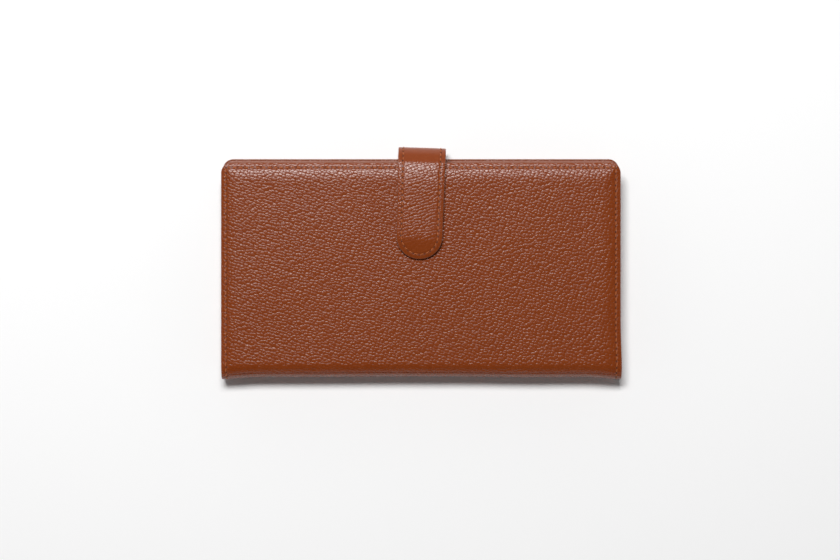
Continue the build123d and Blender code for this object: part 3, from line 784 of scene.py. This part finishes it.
# %% Place points of the tab
class Tab:
    """Places points of the tab's flat leather, and of the inner leather under it."""

    def __init__(self, under, outline):
        self.under, self.outline = under, outline

    def __call__(self, x, s, depth):
        inside = self.outline.inset(x, s)
        thin = np.interp(s, [0, 62, 68.5, 90], [1, 1, 0.22, 0.22])
        front = smooth((TAB_CREASE + 4 - s) / 8)
        if self.under == 0:
            face = np.clip(1 - depth / 0.6, 0, 1)
            pull = 0.20 * np.exp(-((inside - SEAM) / 0.45) ** 2) + 0.12 * np.exp(-inside / 0.8)
            depth = depth + pull * face * np.interp(s, [60, 66], [1, 0.2])
        y, z = tab_path.place(s, (depth + self.under) * thin)
        z = z - 0.35 * np.exp(-inside / 1.6) * front * np.clip((z - 13) / 4, 0, 1)
        z = z - 0.25 * (np.abs(x) / TAB_HALF) ** 2 * front * smooth((s - 22) / 20)
        wide = np.interp(s, [0, 20, 50, 60], [0.985, 0.985, 1.02, 1.02])
        near = np.clip((BACK_TOP - y) / LIFT_WIDTH, 0, 1)
        z = z + LIFTED * (1 - near) ** 2 * np.clip(1 - z / FREE_ABOVE, 0, 1)
        x = x * wide
        up = y - BACK_TOP
        c, d = math.cos(TAB_LEAN), math.sin(TAB_LEAN)
        return TAB_X + x * c - up * d, BACK_TOP + x * d + up * c, z


def tab_point(s, depth=0.0):
    """A point on the tab's middle line."""
    x, y, z = Tab(0, tab_outline)(np.array([0.0]), np.array([float(s)]), np.array([depth]))
    return float(x[0]), float(y[0]), float(z[0])


tab_outline = Outline(-TAB_HALF, TAB_HALF, 0, TAB_RUN, round_low=TAB_HALF)
TAB_PARTS = {
    "front": (0, TAB_CUT_2, ("tab_wrap_2", "tab_tip", tab_point(TAB_CUT_2),
                             tab_point(TAB_CREASE - 2))),
    "arch": (TAB_CUT_2, TAB_CUT_1, ("tab_wrap_1", "tab_wrap_2", tab_point(TAB_CUT_1),
                                    tab_point(TAB_CUT_2))),
    "root": (TAB_CUT_1, TAB_RUN, ("base", "tab_wrap_1", tab_point(68.0), tab_point(TAB_CUT_1))),
}
TAB_OUTER_NODES = {"front": ["tab_leather_tip"], "arch": ["tab_leather_2"],
                   "root": ["tab_leather_1", "tab_root"]}
TAB_INNER_NODES = {"front": ["tab_lining_tip"], "arch": ["tab_lining_2"], "root": ["tab_lining_1"]}
TAB_COLUMNS = lines(-TAB_HALF, TAB_HALF, 0.8)


def tab_rows(low, high):
    rows = lines(0, TAB_CREASE, 0.9, (True,
                                      False)) + [TAB_CREASE + 0.3 + 0.5 * k for k in range(66)]
    rows = [r for r in rows if low + 0.15 < r < high - 0.15]
    return [low] + rows + [high]


def record_plain(obj, share):
    """Writes where the grain is worn or pressed smooth."""
    mesh = obj.data
    flat = {}
    uv = mesh.uv_layers["flat"].data
    for loop in mesh.loops:
        flat[loop.vertex_index] = tuple(uv[loop.index].uv)
    values = [float(share(*flat.get(k, (0, 0)))) for k in range(len(mesh.vertices))]
    plain = mesh.attributes.new("plain", "FLOAT", "POINT")
    plain.data.foreach_set("value", values)


def tab_plain(x, s):
    """The tab's arch is pressed almost smooth, and its round end and right side are rubbed smooth.
    """
    arch = 0.82 if s > TAB_CREASE + 0.4 else 0.0
    end = 0.6 * float(smooth((15 - s) / 11))
    right = 0.5 * float(smooth((x - 1) / 9)) * float(smooth((38 - s) / 14))
    return max(arch, end, right)


for part, (low, high, blend) in TAB_PARTS.items():
    outline = Outline(-TAB_HALF, TAB_HALF, low, high, round_low=TAB_HALF if low == 0 else 0)
    piece = bent_sheet(
        f"tab_leather_{part}", TAB_COLUMNS, tab_rows(low, high), outline, TAB_OUTER, 0.28,
        Tab(0, tab_outline), tab_outline,
        body=None, nodes=TAB_OUTER_NODES[part], slot="tan_leather", material=tan_calf, blend=blend,
    )
    record_plain(piece, tab_plain)
    piece = bent_sheet(
        f"tab_inner_{part}", TAB_COLUMNS, tab_rows(low, high), outline, TAB_INNER, 0.2,
        Tab(TAB_OUTER, tab_outline), tab_outline,
        body=None, nodes=TAB_INNER_NODES[part], slot="inner_leather", material=tan_calf,
        blend=blend,
    )

# %% Sew the tab
line = [(TAB_HALF - SEAM, 69.5), (TAB_HALF - SEAM, TAB_HALF)]
for k in range(1, 24):
    a = math.pi * k / 24
    r = TAB_HALF - SEAM
    line.append((r * math.cos(a), TAB_HALF - r * math.sin(a)))
line += [(-TAB_HALF + SEAM, TAB_HALF), (-TAB_HALF + SEAM, 69.5)]
tab_middles = along_line(line, PITCH)
for part, (low, high, blend) in TAB_PARTS.items():
    row = [m for m in tab_middles if low <= m[0].y < high]
    stitches(f"tab_stitches_{part}", row, Tab(0, tab_outline), -0.02, blend=blend,
             nodes=["tab_seam_thread"] if part == "front" else [])
print(len(tab_middles), "stitches round the tab")

# %% [markdown]
# ## Finishes for the inside
# Inside, thinner calf with hardly any pebble is used for the pockets, because cards have to slide.
# The linings and note walls are a brown twill: each thread passes over two and under two, one step
# along in every row, which gives the slanting rib. The zip tapes are the same weave, closer.

# %% Effect: twill weave
def make_twill():
    tree, given, out = effect(
        "twill_weave", [("Vector", "Vector", None), ("Pitch", "Float", 0.45)],
        [("Height", "Float"), ("Warp", "Float"), ("Slub", "Float")],
    )
    grid = node(tree, "VectorMath", {0: given["Vector"],
                                     "Scale": calc(tree, "DIVIDE", 1.0, given["Pitch"])},
                operation="SCALE").outputs[0]
    part = node(tree, "SeparateXYZ", {0: grid}).outputs
    across = calc(tree, "ABSOLUTE", calc(tree, "SINE", calc(tree, "MULTIPLY", part[0], math.pi)))
    along = calc(tree, "ABSOLUTE", calc(tree, "SINE", calc(tree, "MULTIPLY", part[1], math.pi)))
    step = calc(tree, "ADD", calc(tree, "FLOOR", part[0]), calc(tree, "FLOOR", part[1]))
    over = calc(tree, "LESS_THAN", calc(tree, "FRACT", calc(tree, "MULTIPLY", step, 0.25)), 0.5)
    height = node(tree, "Mix", {0: over, 2: along, 3: across}).outputs[0]
    slub = node(tree, "TexNoise", {"Vector": grid, "Scale": 0.35, "Detail": 3.0},
                noise_dimensions="2D").outputs[0]
    tree.links.new(height, out["Height"])
    tree.links.new(over, out["Warp"])
    tree.links.new(slub, out["Slub"])
    return tree


TWILL = make_twill()


# %% Finish: cloth
def cloth(name, warp, weft, pitch, bump=0.00010, roughness=0.85):
    """Woven cloth with warp and weft of two shades."""
    material, tree, shader = finish(name, roughness, Sheen_Weight=0.08, Sheen_Roughness=0.5)
    flat = node(tree, "UVMap", uv_map="flat").outputs[0]
    weave = use(tree, TWILL, {"Vector": flat, "Pitch": pitch})
    # painted shade: the gaps between the threads are darkened
    painted_gap_shade = tuple(0.35 * c for c in weft)
    colour = blend_colours(tree, weave["Warp"], weft, warp)
    colour = blend_colours(tree, ramp(tree, weave["Height"], 0.55, 0.0), colour, painted_gap_shade)
    colour = blend_colours(tree, ramp(tree, weave["Slub"], 0.45, 0.75, 0.0, 0.4), colour, warp)
    tree.links.new(colour, shader.inputs["Base Color"])
    lumps = node(tree, "Bump", {"Height": weave["Height"], "Strength": 1.0, "Distance": bump})
    tree.links.new(lumps.outputs[0], shader.inputs["Normal"])
    return material


lining_twill = cloth("lining_twill", (0.150, 0.074, 0.038), (0.095, 0.046, 0.023), 0.42)
zip_cloth = cloth("zip_tape_weave", (0.115, 0.060, 0.034), (0.080, 0.040, 0.022), 0.55)
pocket_calf = calf("pocket_calf", (0.235, 0.062, 0.018), (0.170, 0.040, 0.010),
                   (0.262, 0.078, 0.026),
                   (0.170, 0.062, 0.038), bump=0.00005, cell=(0.85, 0.7), roughness=0.42,
                   Specular_IOR_Level=0.3)
edge_calf = calf("edge_calf", (0.290, 0.095, 0.055), (0.200, 0.060, 0.030), (0.330, 0.130, 0.080),
                 (0.180, 0.066, 0.042), bump=0.00004, cell=(0.7, 0.6), roughness=0.36)
print("finishes:", lining_twill.name, zip_cloth.name, pocket_calf.name)


# %% [markdown]
# Brass parts are polished where hands and teeth rub them, and duller in the hollows. Fine scratches
# run all ways. The snap is the same brass, antiqued darker.

# %% Effect and finishes: worn brass and clear film
def make_wear():
    tree, given, out = effect("rubbed_metal", [("Vector", "Vector", None)],
                              [("Rub", "Float"), ("Scratch", "Float")])
    rub = node(tree, "TexNoise", {"Vector": given["Vector"], "Scale": 420.0,
                                  "Detail": 4.0}).outputs[0]
    long = node(tree, "VectorMath", {0: given["Vector"], 1: (900.0, 5200.0, 3000.0)},
                operation="MULTIPLY").outputs[0]
    scratch = node(tree, "TexNoise", {"Vector": long, "Scale": 1.0, "Detail": 2.0}).outputs[0]
    tree.links.new(rub, out["Rub"])
    tree.links.new(scratch, out["Scratch"])
    return tree


WEAR = make_wear()


def brass(name, bright, dull, roughness):
    material, tree, shader = finish(name, roughness, 1.0)
    place = node(tree, "TexCoord").outputs["Object"]
    wear = use(tree, WEAR, {"Vector": place})
    colour = blend_colours(tree, ramp(tree, wear["Rub"], 0.40, 0.62), bright, dull)
    tree.links.new(colour, shader.inputs["Base Color"])
    tree.links.new(ramp(tree, wear["Scratch"], 0.3, 0.7, roughness - 0.06, roughness + 0.12),
                   shader.inputs["Roughness"])
    lumps = node(tree, "Bump", {"Height": wear["Scratch"], "Strength": 0.25, "Distance": 0.00002})
    tree.links.new(lumps.outputs[0], shader.inputs["Normal"])
    return material


zip_brass = brass("zip_brass", (0.78, 0.55, 0.24), (0.55, 0.37, 0.15), 0.24)
snap_brass = brass("snap_brass", (0.52, 0.37, 0.18), (0.30, 0.20, 0.10), 0.36)

clear_film, film_tree, film_shader = finish(
    "clear_film", 0.12, Base_Color=(0.95, 0.96, 0.97, 1.0), Coat_Weight=0.3,
    Transmission_Weight=0.85, IOR=1.45)
film_flat = node(film_tree, "UVMap", uv_map="flat").outputs[0]
haze = node(film_tree, "TexNoise", {"Vector": film_flat, "Scale": 0.12, "Detail": 4.0},
            noise_dimensions="2D").outputs[0]
film_tree.links.new(ramp(film_tree, haze, 0.35, 0.7, 0.06, 0.24), film_shader.inputs["Roughness"])
ripple = node(film_tree, "Bump", {"Height": haze, "Strength": 0.4, "Distance": 0.0004})
film_tree.links.new(ripple.outputs[0], film_shader.inputs["Normal"])

METAL = {
    zip_brass: ["zip_teeth_upper", "zip_teeth_lower", "zip_top_stops", "zip_bottom_stop",
                "zip_slider", "zip_pull_bail"],
    snap_brass: ["snap_stud", "snap_rivet", "snap_socket", "snap_spring", "snap_cap"],
}
for material, names in METAL.items():
    for name in names:
        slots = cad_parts[name].data.materials
        slots.clear()
        slots.append(material)

# %% [markdown]
# ## Lining and facings
# A twill lining is glued all over the inside of the shell. It stops short of the cut edge, and
# beside the two open edges a strip of smooth leather faces the shell instead, because fingers and
# notes rub there. The lining is cut at the same places as the shell and bends with it. Its lengths
# are measured along the shell's outer face. Round the fold the cloth lies deeper, so the strip
# there is really about a fifth shorter than it says.

# %% Line the shell
LINING_IN = 0.8
FACING = 8.0    # height of the leather strips
FACING_CORNER = CORNER - LINING_IN
LINING_THICK = box("back_lining")[1][2] - box("back_lining")[0][2]
LINING_SIDE = SIDE - LINING_IN
lining_whole = Outline(-LINING_SIDE, LINING_SIDE, FACING, SHELL_RUN - FACING)
lining_shape = Shell(SHELL_LEATHER, lining_whole, LINING_THICK)
LINING_NODES = {
    "front": ["front_lining"], "fold": ["spine_lining_1", "spine_lining_2"],
    "back": ["back_lining"],
}
lining_columns = lines(-LINING_SIDE, LINING_SIDE, 3.0)
for part, (low, high, blend) in FOLD_PARTS.items():
    low, high = max(low, FACING), min(high, SHELL_RUN - FACING)
    piece = bent_sheet(
        f"lining_{part}", lining_columns, shell_rows(low, high, 3.0),
        Outline(-LINING_SIDE, LINING_SIDE, low, high), LINING_THICK, 0.1, lining_shape,
        lining_whole, body=None, nodes=LINING_NODES[part], slot="lining_cloth",
        material=lining_twill, blend=blend,
    )
for part, body in (("front", "cover"), ("back", "base")):
    near, far = LINING_IN, FACING
    if part == "back":
        near, far = SHELL_RUN - FACING, SHELL_RUN - LINING_IN
    outline = Outline(
        -LINING_SIDE, LINING_SIDE, near, far, FACING_CORNER if part == "front" else 0,
        FACING_CORNER if part == "back" else 0)
    rows = [r for r in lines(LINING_IN, SHELL_RUN - LINING_IN, 1.5) if near + 0.1 < r < far - 0.1]
    piece = bent_sheet(
        f"edge_facing_{part}", lines(-LINING_SIDE, LINING_SIDE, 2.0), [near] + rows + [far],
        outline, LINING_THICK, 0.12, lining_shape, outline,
        body=body, nodes=[], slot="inner_leather", material=edge_calf,
    )
print("lining", round(2 * LINING_SIDE, 1), "x", round(SHELL_RUN - 2 * FACING, 1), "mm")


# %% [markdown]
# ## Pockets
# Each pocket is a flat sheet sewn down at its sides and its foot, with the upper edge folded or
# creased as its lip. Every pocket is placed by the box of its CAD node, and takes part in the
# settling of the closed wallet like the shell round it.

# %% Make a flat pocket sheet
CREASE, CREASE_WIDTH = 0.13, 0.22       # the line pressed along a pocket's mouth
LIP, LIP_WIDTH = 0.06, 0.8              # and the fuller edge above it
POCKET_WAVE = 26.0
DIP_REACH = 22.0                        # how far down a thumb cut still bends the sheet


class Flat:
    """Places points of a flat sheet on a level. facing is 1 if it looks up, and -1 if down."""

    def __init__(self, outline, level, facing, crease=None, dip=None, wave=0.0):
        self.outline, self.level, self.facing = outline, level, facing
        self.crease, self.dip, self.wave = crease, dip, wave

    def __call__(self, x, y, depth):
        face = np.clip(1 - depth / 0.5, 0, 1)
        if self.crease:
            down = self.outline.high - y
            depth = depth + CREASE * np.exp(-((down - self.crease) / CREASE_WIDTH) ** 2) * face
            depth = depth - LIP * np.exp(-((down - 0.9) / LIP_WIDTH) ** 2) * face
        if self.wave:
            depth = depth - undulate(x, y, POCKET_WAVE, self.wave) * face
        if self.dip:
            deep, radius = self.dip
            half = math.sqrt(radius ** 2 - (radius - deep) ** 2)
            off = np.minimum(np.abs(x), half)
            bite = deep - radius + np.sqrt(np.maximum(radius ** 2 - off ** 2, 0))
            y = y - bite * smooth((y - self.outline.high + DIP_REACH) / DIP_REACH)
        return settle(x, y, self.level - self.facing * depth)


def pocket(name, node_name, body, facing, material, slot, step=3.0, rim=0.2, **detail):
    """A flat sheet that fills the box of a CAD node."""
    low, high = box(node_name)
    outline = Outline(low[0], high[0], low[1], high[1])
    level = high[2] if facing > 0 else low[2]
    columns, rows = lines(low[0], high[0], step), lines(low[1], high[1], step)
    piece = bent_sheet(
        name, columns, rows, outline, high[2] - low[2], rim,
        Flat(outline, level, facing, **detail), outline,
        body=body, nodes=[node_name], slot=slot, material=material,
    )
    return piece


wall = pocket("note_wall_back", "bill_divider", "base", 1, lining_twill, "lining_cloth", step=2.0,
              dip=(7.0, 30.0), crease=3.0)
wall = pocket("note_wall_cover", "cover_divider", "cover", -1, lining_twill, "lining_cloth",
              crease=3.0)
for k in range(1, 5):
    pocket(f"card_pocket_leather_{k}", f"card_pocket_{k}", "base", 1, pocket_calf, "inner_leather",
           crease=1.6, wave=0.05)
for k in (1, 2):
    pocket(f"cover_pocket_leather_{k}", f"cover_card_pocket_{k}", "cover", -1, pocket_calf,
           "inner_leather", crease=1.6, wave=0.05)
pocket("zip_panel_leather_lower", "zip_panel_lower", "cover", -1, pocket_calf, "inner_leather")
pocket("zip_panel_leather_upper", "zip_panel_upper", "cover", -1, pocket_calf, "inner_leather")
pocket("window_film", "id_window_film", "cover", -1, clear_film, "clear_film", rim=0.05, wave=0.12)
print("pockets placed")


# %% [markdown]
# The window's frame is a ring of leather. Its inner edge is a rounded rectangle and its outer edge
# a square one, so the two loops get the same number of points and are bridged.

# %% Make framed pieces
def ring(bm, left, right, low, high, radius, per_side=20, per_corner=8):
    """A closed loop of edges round a rectangle whose corners have this radius."""
    points = []
    corners = [(right, high, 0), (left, high, 90), (left, low, 180), (right, low, 270)]
    for k, (cx, cy, turn) in enumerate(corners):
        mx = cx - radius * (1 if cx == right else -1)
        my = cy - radius * (1 if cy == high else -1)
        for n in range(per_corner + 1):
            a = math.radians(turn + 90 * n / per_corner)
            points.append(Vector((mx + radius * math.cos(a), my + radius * math.sin(a), 0)))
        nx, ny, after = corners[(k + 1) % 4]
        a = math.radians(after)
        end = Vector((nx - radius * (1 if nx == right else -1) + radius * math.cos(a),
                      ny - radius * (1 if ny == high else -1) + radius * math.sin(a), 0))
        start = points[-1].copy()
        points += [start.lerp(end, n / per_side) for n in range(1, per_side)]
    made = [bm.verts.new(p) for p in points]
    return [bm.edges.new((a, b)) for a, b in zip(made, made[1:] + made[:1])]


def framed(name, outer, inner, radius, level, thick, facing, rim, body, nodes, slot, material):
    """A flat ring of sheet between a rectangle and a smaller, rounded one."""
    bm = bmesh.new()
    loops = ring(bm, *outer, 0.3) + ring(bm, *inner, radius)
    made = bmesh.ops.bridge_loops(bm, edges=loops)
    cross = [e for e in made["edges"] if e.calc_length() > 0.5]
    bmesh.ops.subdivide_edges(bm, edges=cross, cuts=3, use_grid_fill=True)
    bmesh.ops.recalc_face_normals(bm, faces=bm.faces[:])
    if sum(f.normal.z for f in bm.faces) < 0:
        bmesh.ops.reverse_faces(bm, faces=bm.faces[:])
    give_thickness(bm, thick, rim)
    mesh = bpy.data.meshes.new(name)
    bm.to_mesh(mesh)
    bm.free()
    hole, whole = Outline(*inner), Outline(*outer)
    record_flat(mesh, whole)
    co = coordinates(mesh)
    gap = np.abs(hole.inset(co[:, 0], co[:, 1]))
    edge = np.minimum(whole.inset(co[:, 0], co[:, 1]), gap)
    mesh.attributes["edge"].data.foreach_set("value", edge.astype(np.float32))
    x, y, z = Flat(whole, level, facing)(co[:, 0], co[:, 1], -co[:, 2])
    mesh.vertices.foreach_set("co", np.column_stack([x, y, z]).ravel())
    mesh.update()
    return place_made(name, mesh, body, nodes, slot, material)


low, high = box("id_window_frame")
BORDER = 7.0
WINDOW = (low[0] + BORDER, high[0] - BORDER, low[1] + BORDER, high[1] - BORDER)
framed("window_frame_leather", (low[0], high[0], low[1], high[1]), WINDOW, 5.0, low[2],
       high[2] - low[2], -1, 0.2, "cover", ["id_window_frame"], "inner_leather", pocket_calf)

# %% [markdown]
# The coin bag is two cloths with a folded edge between them. It hides behind the zip panels and
# shows only through the slot and along the sides.

# %% Make the coin bag and the zip tapes
low, high = box("coin_bag_edge")
BAG_RIM = 3.0
CLOTH = 0.42    # the front cloth lies over the rim
outer = (low[0], high[0], low[1], high[1])
inner = (low[0] + BAG_RIM, high[0] - BAG_RIM, low[1] + BAG_RIM, high[1] - BAG_RIM)
framed("coin_bag_rim", outer, inner, 0.3, low[2] + CLOTH, high[2] - low[2] - CLOTH, -1, 0.3,
       "cover", ["coin_bag_edge"], "lining_cloth", lining_twill)
bag_back = pocket("coin_bag_cloth_back", "coin_bag_back", "cover", -1, lining_twill, "lining_cloth",
                  rim=0.1, wave=0.12)

TAPE_WIDE = 10.0
ZIP_Y = (box("zip_tape_upper")[0][1] + box("zip_tape_lower")[1][1]) / 2


def cloth_strip(name, node_name, bottom, top, material, slot, under, rim=0.1, **detail):
    """A strip of cloth at a CAD node's level, cut to its own height."""
    low, high = box(node_name)
    outline = Outline(low[0], high[0], bottom, top)
    piece = bent_sheet(
        name, lines(low[0], high[0], 3.0), lines(bottom, top, 2.0), outline,
        high[2] - low[2], rim, Flat(outline, low[2], -1, **detail), outline,
        body="cover", nodes=[node_name], slot=slot, material=material,
    )
    return piece


upper, lower = box("zip_tape_upper"), box("zip_tape_lower")
cloth_strip("zip_tape_cloth_upper", "zip_tape_upper", upper[0][1], upper[0][1] + TAPE_WIDE,
            zip_cloth, "zip_tape", "zip_panel_leather_upper")
cloth_strip("zip_tape_cloth_lower", "zip_tape_lower", lower[1][1] - TAPE_WIDE, lower[1][1],
            zip_cloth, "zip_tape", "zip_panel_leather_lower")
cloth_strip("coin_bag_cloth_front", "coin_bag_front", box("coin_bag_front")[0][1],
            lower[1][1] - TAPE_WIDE - 0.1, lining_twill, "lining_cloth",
            "zip_panel_leather_lower", wave=0.12)


# %% [markdown]
# The zip's two tapes each have a thick woven cord along the edge that the teeth grip. It is a
# straight round bead of cloth.

# %% Cord the tapes
def bead(name, y, z, left, right, radius, body, slot, material):
    """A straight round bead along X, closed at its ends."""
    bm = bmesh.new()
    turn = Matrix.Rotation(math.pi / 2, 4, "Y")
    bmesh.ops.create_cone(bm, cap_ends=True, segments=12, radius1=radius, radius2=radius,
                          depth=right - left,
                          matrix=Matrix.Translation(((left + right) / 2, y, z)) @ turn)
    uv = bm.loops.layers.uv.new("flat")
    for face in bm.faces:
        for loop in face.loops:
            a = math.atan2(loop.vert.co.z - z, loop.vert.co.y - y)
            loop[uv].uv = (loop.vert.co.x, a * radius)
    return place_mesh(name, bm, body, [], slot, material)


for side, tape in ((1, upper), (-1, lower)):
    bead(f"zip_cord_{'upper' if side > 0 else 'lower'}", ZIP_Y + side * 1.85, tape[0][2] + 0.2,
         tape[0][0] + 10, tape[1][0] - 10, 0.42, "cover", "zip_tape", zip_cloth)

# %% [markdown]
# The slider's pull is a strip of the same calf folded round the bail and sewn to itself. Its path
# runs along the under side, round the bar, and back along the top.

# %% Fold the pull
low, high = box("zip_pull_tab")
bail_high = box("zip_pull_bail")[1]
PULL_Z = (low[2] + high[2]) / 2
BAR_X = bail_high[0] - 0.5
PULL_THICK, WRAP = 0.38, 0.90
PULL_HALF = (high[1] - low[1]) / 2
PULL_Y = (low[1] + high[1]) / 2
HOLD = 0.42     # from the middle to each outer face, where the two layers are sewn together
wrap = [(BAR_X - WRAP * math.cos(a), PULL_Z - WRAP * math.sin(a))
        for a in np.linspace(math.radians(105), -math.radians(105), 31)]
pull_path = Path(
    [(high[0], PULL_Z - HOLD), (BAR_X + 8, PULL_Z - HOLD), (BAR_X + 3.2, PULL_Z - HOLD)]
    + wrap
    + [(BAR_X + 3.2, PULL_Z + HOLD), (BAR_X + 8, PULL_Z + HOLD), (high[0], PULL_Z + HOLD)],
    inward=-1,
)


def pull_shape(x, s, depth):
    """The pull lies along X, so its path is read as (x, z) and its width runs along Y."""
    inside = pull_outline.inset(x, s)
    face = np.clip(1 - depth / 0.3, 0, 1)
    depth = depth + 0.10 * np.exp(-((inside - 1.1) / 0.25) ** 2) * face
    along, z = pull_path.place(s, depth)
    return along, PULL_Y + x, z


pull_outline = Outline(-PULL_HALF, PULL_HALF, 0, pull_path.length, 2.9, 2.9)
columns = [-PULL_HALF + e for e in (0, 0.3, 0.6, 0.9, 1.1, 1.3, 1.7, 2.2, 2.8)]
columns = columns + [0.0] + [-c for c in reversed(columns)]
rows = [0, 0.3, 0.6, 0.9, 1.2, 1.6, 2.2, 2.9]
middle = pull_path.length - 2 * rows[-1]
rows = rows + [rows[-1] + middle * k / 90 for k in range(1,
                                                         90)] + [pull_path.length - r
                                                                 for r in reversed(rows)]
pull = bent_sheet(
    "zip_pull_leather", columns, rows, pull_outline, PULL_THICK, 0.12, pull_shape, pull_outline,
    body="zip_pull", nodes=["zip_pull_tab"], slot="tan_leather", material=pocket_calf,
)
line = [(-PULL_HALF + 1.1, 14.0), (-PULL_HALF + 1.1, 2.9), (-PULL_HALF + 2.9, 1.1),
        (PULL_HALF - 2.9, 1.1),
        (PULL_HALF - 1.1, 2.9), (PULL_HALF - 1.1, 14.0)]
top_line = [(x, pull_path.length - s) for x, s in line]
for name, points in (("pull_stitches_under", line), ("pull_stitches_top", top_line)):
    stitches(name, along_line(points, 1.9), pull_shape, -0.01, length=1.3, radius=0.17, hole=0.16,
             jitter=0.02, body="zip_pull")
print("pull folded from a strip", round(pull_path.length, 1), "mm long")

# %% [markdown]
# ## Stitches inside
# One seam parts the card pockets into two columns, two hold the zip, one goes round the window, and
# the shell's own seam comes through on the pockets' sides.

# %% Sew the inside
def levels_down(nodes, facing):
    """The visible level of a stack of pockets at each height, from their boxes."""
    steps = sorted(((box(n)[1][1], box(n)[1][2] if facing > 0 else box(n)[0][2]) for n in nodes),
                   reverse=True)

    def level(y):
        found = [z for top, z in steps if y <= top]
        return found[-1] if found else steps[0][1]

    return level


def on_stack(nodes, facing):
    level = levels_down(nodes, facing)

    def shape(x, y, depth):
        z = np.array([level(v) for v in [y[1]] * len(y)]) - facing * depth
        return settle(x, y, z)

    return shape


CARD_NODES = [f"card_pocket_{k}" for k in range(1, 5)]
card_low, card_high = box("card_pocket_1")
stack = on_stack(CARD_NODES, 1)
middles = along_line([(0.0, card_high[1] - 1.2), (0.0, card_low[1] + 1.0)], PITCH)
for side in (-1, 1):
    x = side * (SIDE - SEAM)
    middles += along_line([(x, card_high[1] - 1.2), (x, card_low[1] + 1.0)], PITCH)
stitches("card_stitches", middles, stack, -0.02, body="base", nodes=["card_seam_thread"])

slot_low, slot_high = box("zip_seam_thread")
panel = on_stack(["zip_panel_upper"], -1)
reach = slot_high[0]
middles = []
for y in (slot_low[1] + 0.3, slot_high[1] - 0.3):
    middles += along_line([(-reach, y), (reach, y)], PITCH)
top = box("zip_panel_upper")[1][1] - SEAM
middles += along_line([(-reach, top), (reach, top)], PITCH)
stitches("zip_stitches", middles, panel, -0.02, body="cover", nodes=["zip_seam_thread"])

frame_low, frame_high = box("id_window_frame")
x0, x1 = WINDOW[0] - 1.8, WINDOW[1] + 1.8
y0, y1 = WINDOW[2] - 1.8, WINDOW[3] + 1.8
line = [(x0 + 4, y0), (x1 - 4, y0), (x1, y0 + 4), (x1, y1 - 4), (x1 - 4, y1), (x0 + 4, y1),
        (x0, y1 - 4), (x0, y0 + 4)]
around = on_stack(["id_window_frame"], -1)
middles = along_line(line, PITCH, closed=True)
middles += along_line([(-SIDE + SEAM, frame_high[1] - 1.2), (-SIDE + SEAM, frame_low[1] + 1)],
                      PITCH)
stitches("window_stitches", middles, around, -0.02, body="cover")
x = SIDE - SEAM
cards = on_stack(["cover_card_pocket_1", "cover_card_pocket_2"], -1)
pocket_low, pocket_high = box("cover_card_pocket_1")
middles = along_line([(x, pocket_high[1] - 1.2), (x, pocket_low[1] + 1)], PITCH)
middles += along_line([(2.4, pocket_high[1] - 1.2), (2.4, pocket_low[1] + 1)], PITCH)
stitches("cover_card_stitches", middles, cards, -0.02, body="cover")
print("inside sewn")

# %% [markdown]
# ## Camera, floor and light
# The wallet is seen from straight above, from far enough that its sides don't show. A wide soft
# light hangs over it, a little towards the opening edge, and pale surroundings fill the shadows.

# %% Camera
HEIGHT_ABOVE = 1.10             # metres
LENS = 97.07
AIM_X, AIM_Y = -0.00043, -0.0059
camera_data = bpy.data.cameras.new("camera")
camera_data.lens = LENS
camera_data.sensor_width = 36.0
camera_data.clip_start = 0.05
camera = bpy.data.objects.new("camera", camera_data)
camera.location = (AIM_X, AIM_Y, HEIGHT_ABOVE)
bpy.context.scene.collection.objects.link(camera)
bpy.context.scene.camera = camera

# %% Floor
FLOOR_Z = -0.0003     # just under the lowest stitch
bm = bmesh.new()
bmesh.ops.create_grid(bm, x_segments=1, y_segments=1, size=3.0)
bmesh.ops.translate(bm, vec=(0, 0, FLOOR_Z), verts=bm.verts[:])
floor_mesh = bpy.data.meshes.new("floor")
bm.to_mesh(floor_mesh)
bm.free()
floor_paint = finish("pale_floor", 0.9, Base_Color=(0.97, 0.97, 0.97, 1.0))[0]
floor_mesh.materials.append(floor_paint)
floor = bpy.data.objects.new("floor", floor_mesh)
bpy.context.scene.collection.objects.link(floor)

# %% Light
def soft_light(name, place, aim, size, power):
    lamp = bpy.data.lights.new(name, "AREA")
    lamp.shape = "RECTANGLE"
    lamp.size, lamp.size_y = size
    lamp.energy = power
    obj = bpy.data.objects.new(name, lamp)
    obj.location = place
    obj.rotation_euler = (Vector(aim) - Vector(place)).to_track_quat("-Z", "Y").to_euler()
    bpy.context.scene.collection.objects.link(obj)
    return obj


soft_light("overhead", place=(-0.18, 0.74, 1.42), aim=(0, 0, 0), size=(0.8, 0.42), power=27.0)
world = bpy.data.worlds.new("pale_room")
world.use_nodes = True
room = next(n for n in world.node_tree.nodes if n.type == "BACKGROUND")
way = world.node_tree.nodes.new("ShaderNodeTexCoord").outputs["Generated"]
height = node(world.node_tree, "SeparateXYZ", {0: way}).outputs[2]
level = ramp(world.node_tree, height, 0.0, 0.52, 1.5, 0.03)
world.node_tree.links.new(level, room.inputs["Color"])
room.inputs["Strength"].default_value = 1.0
bpy.context.scene.world = world
bpy.context.scene.view_settings.view_transform = "Standard"

# %% [markdown]
# Last, the scene is brought up to date.

# %% Finish
bpy.context.view_layer.update()
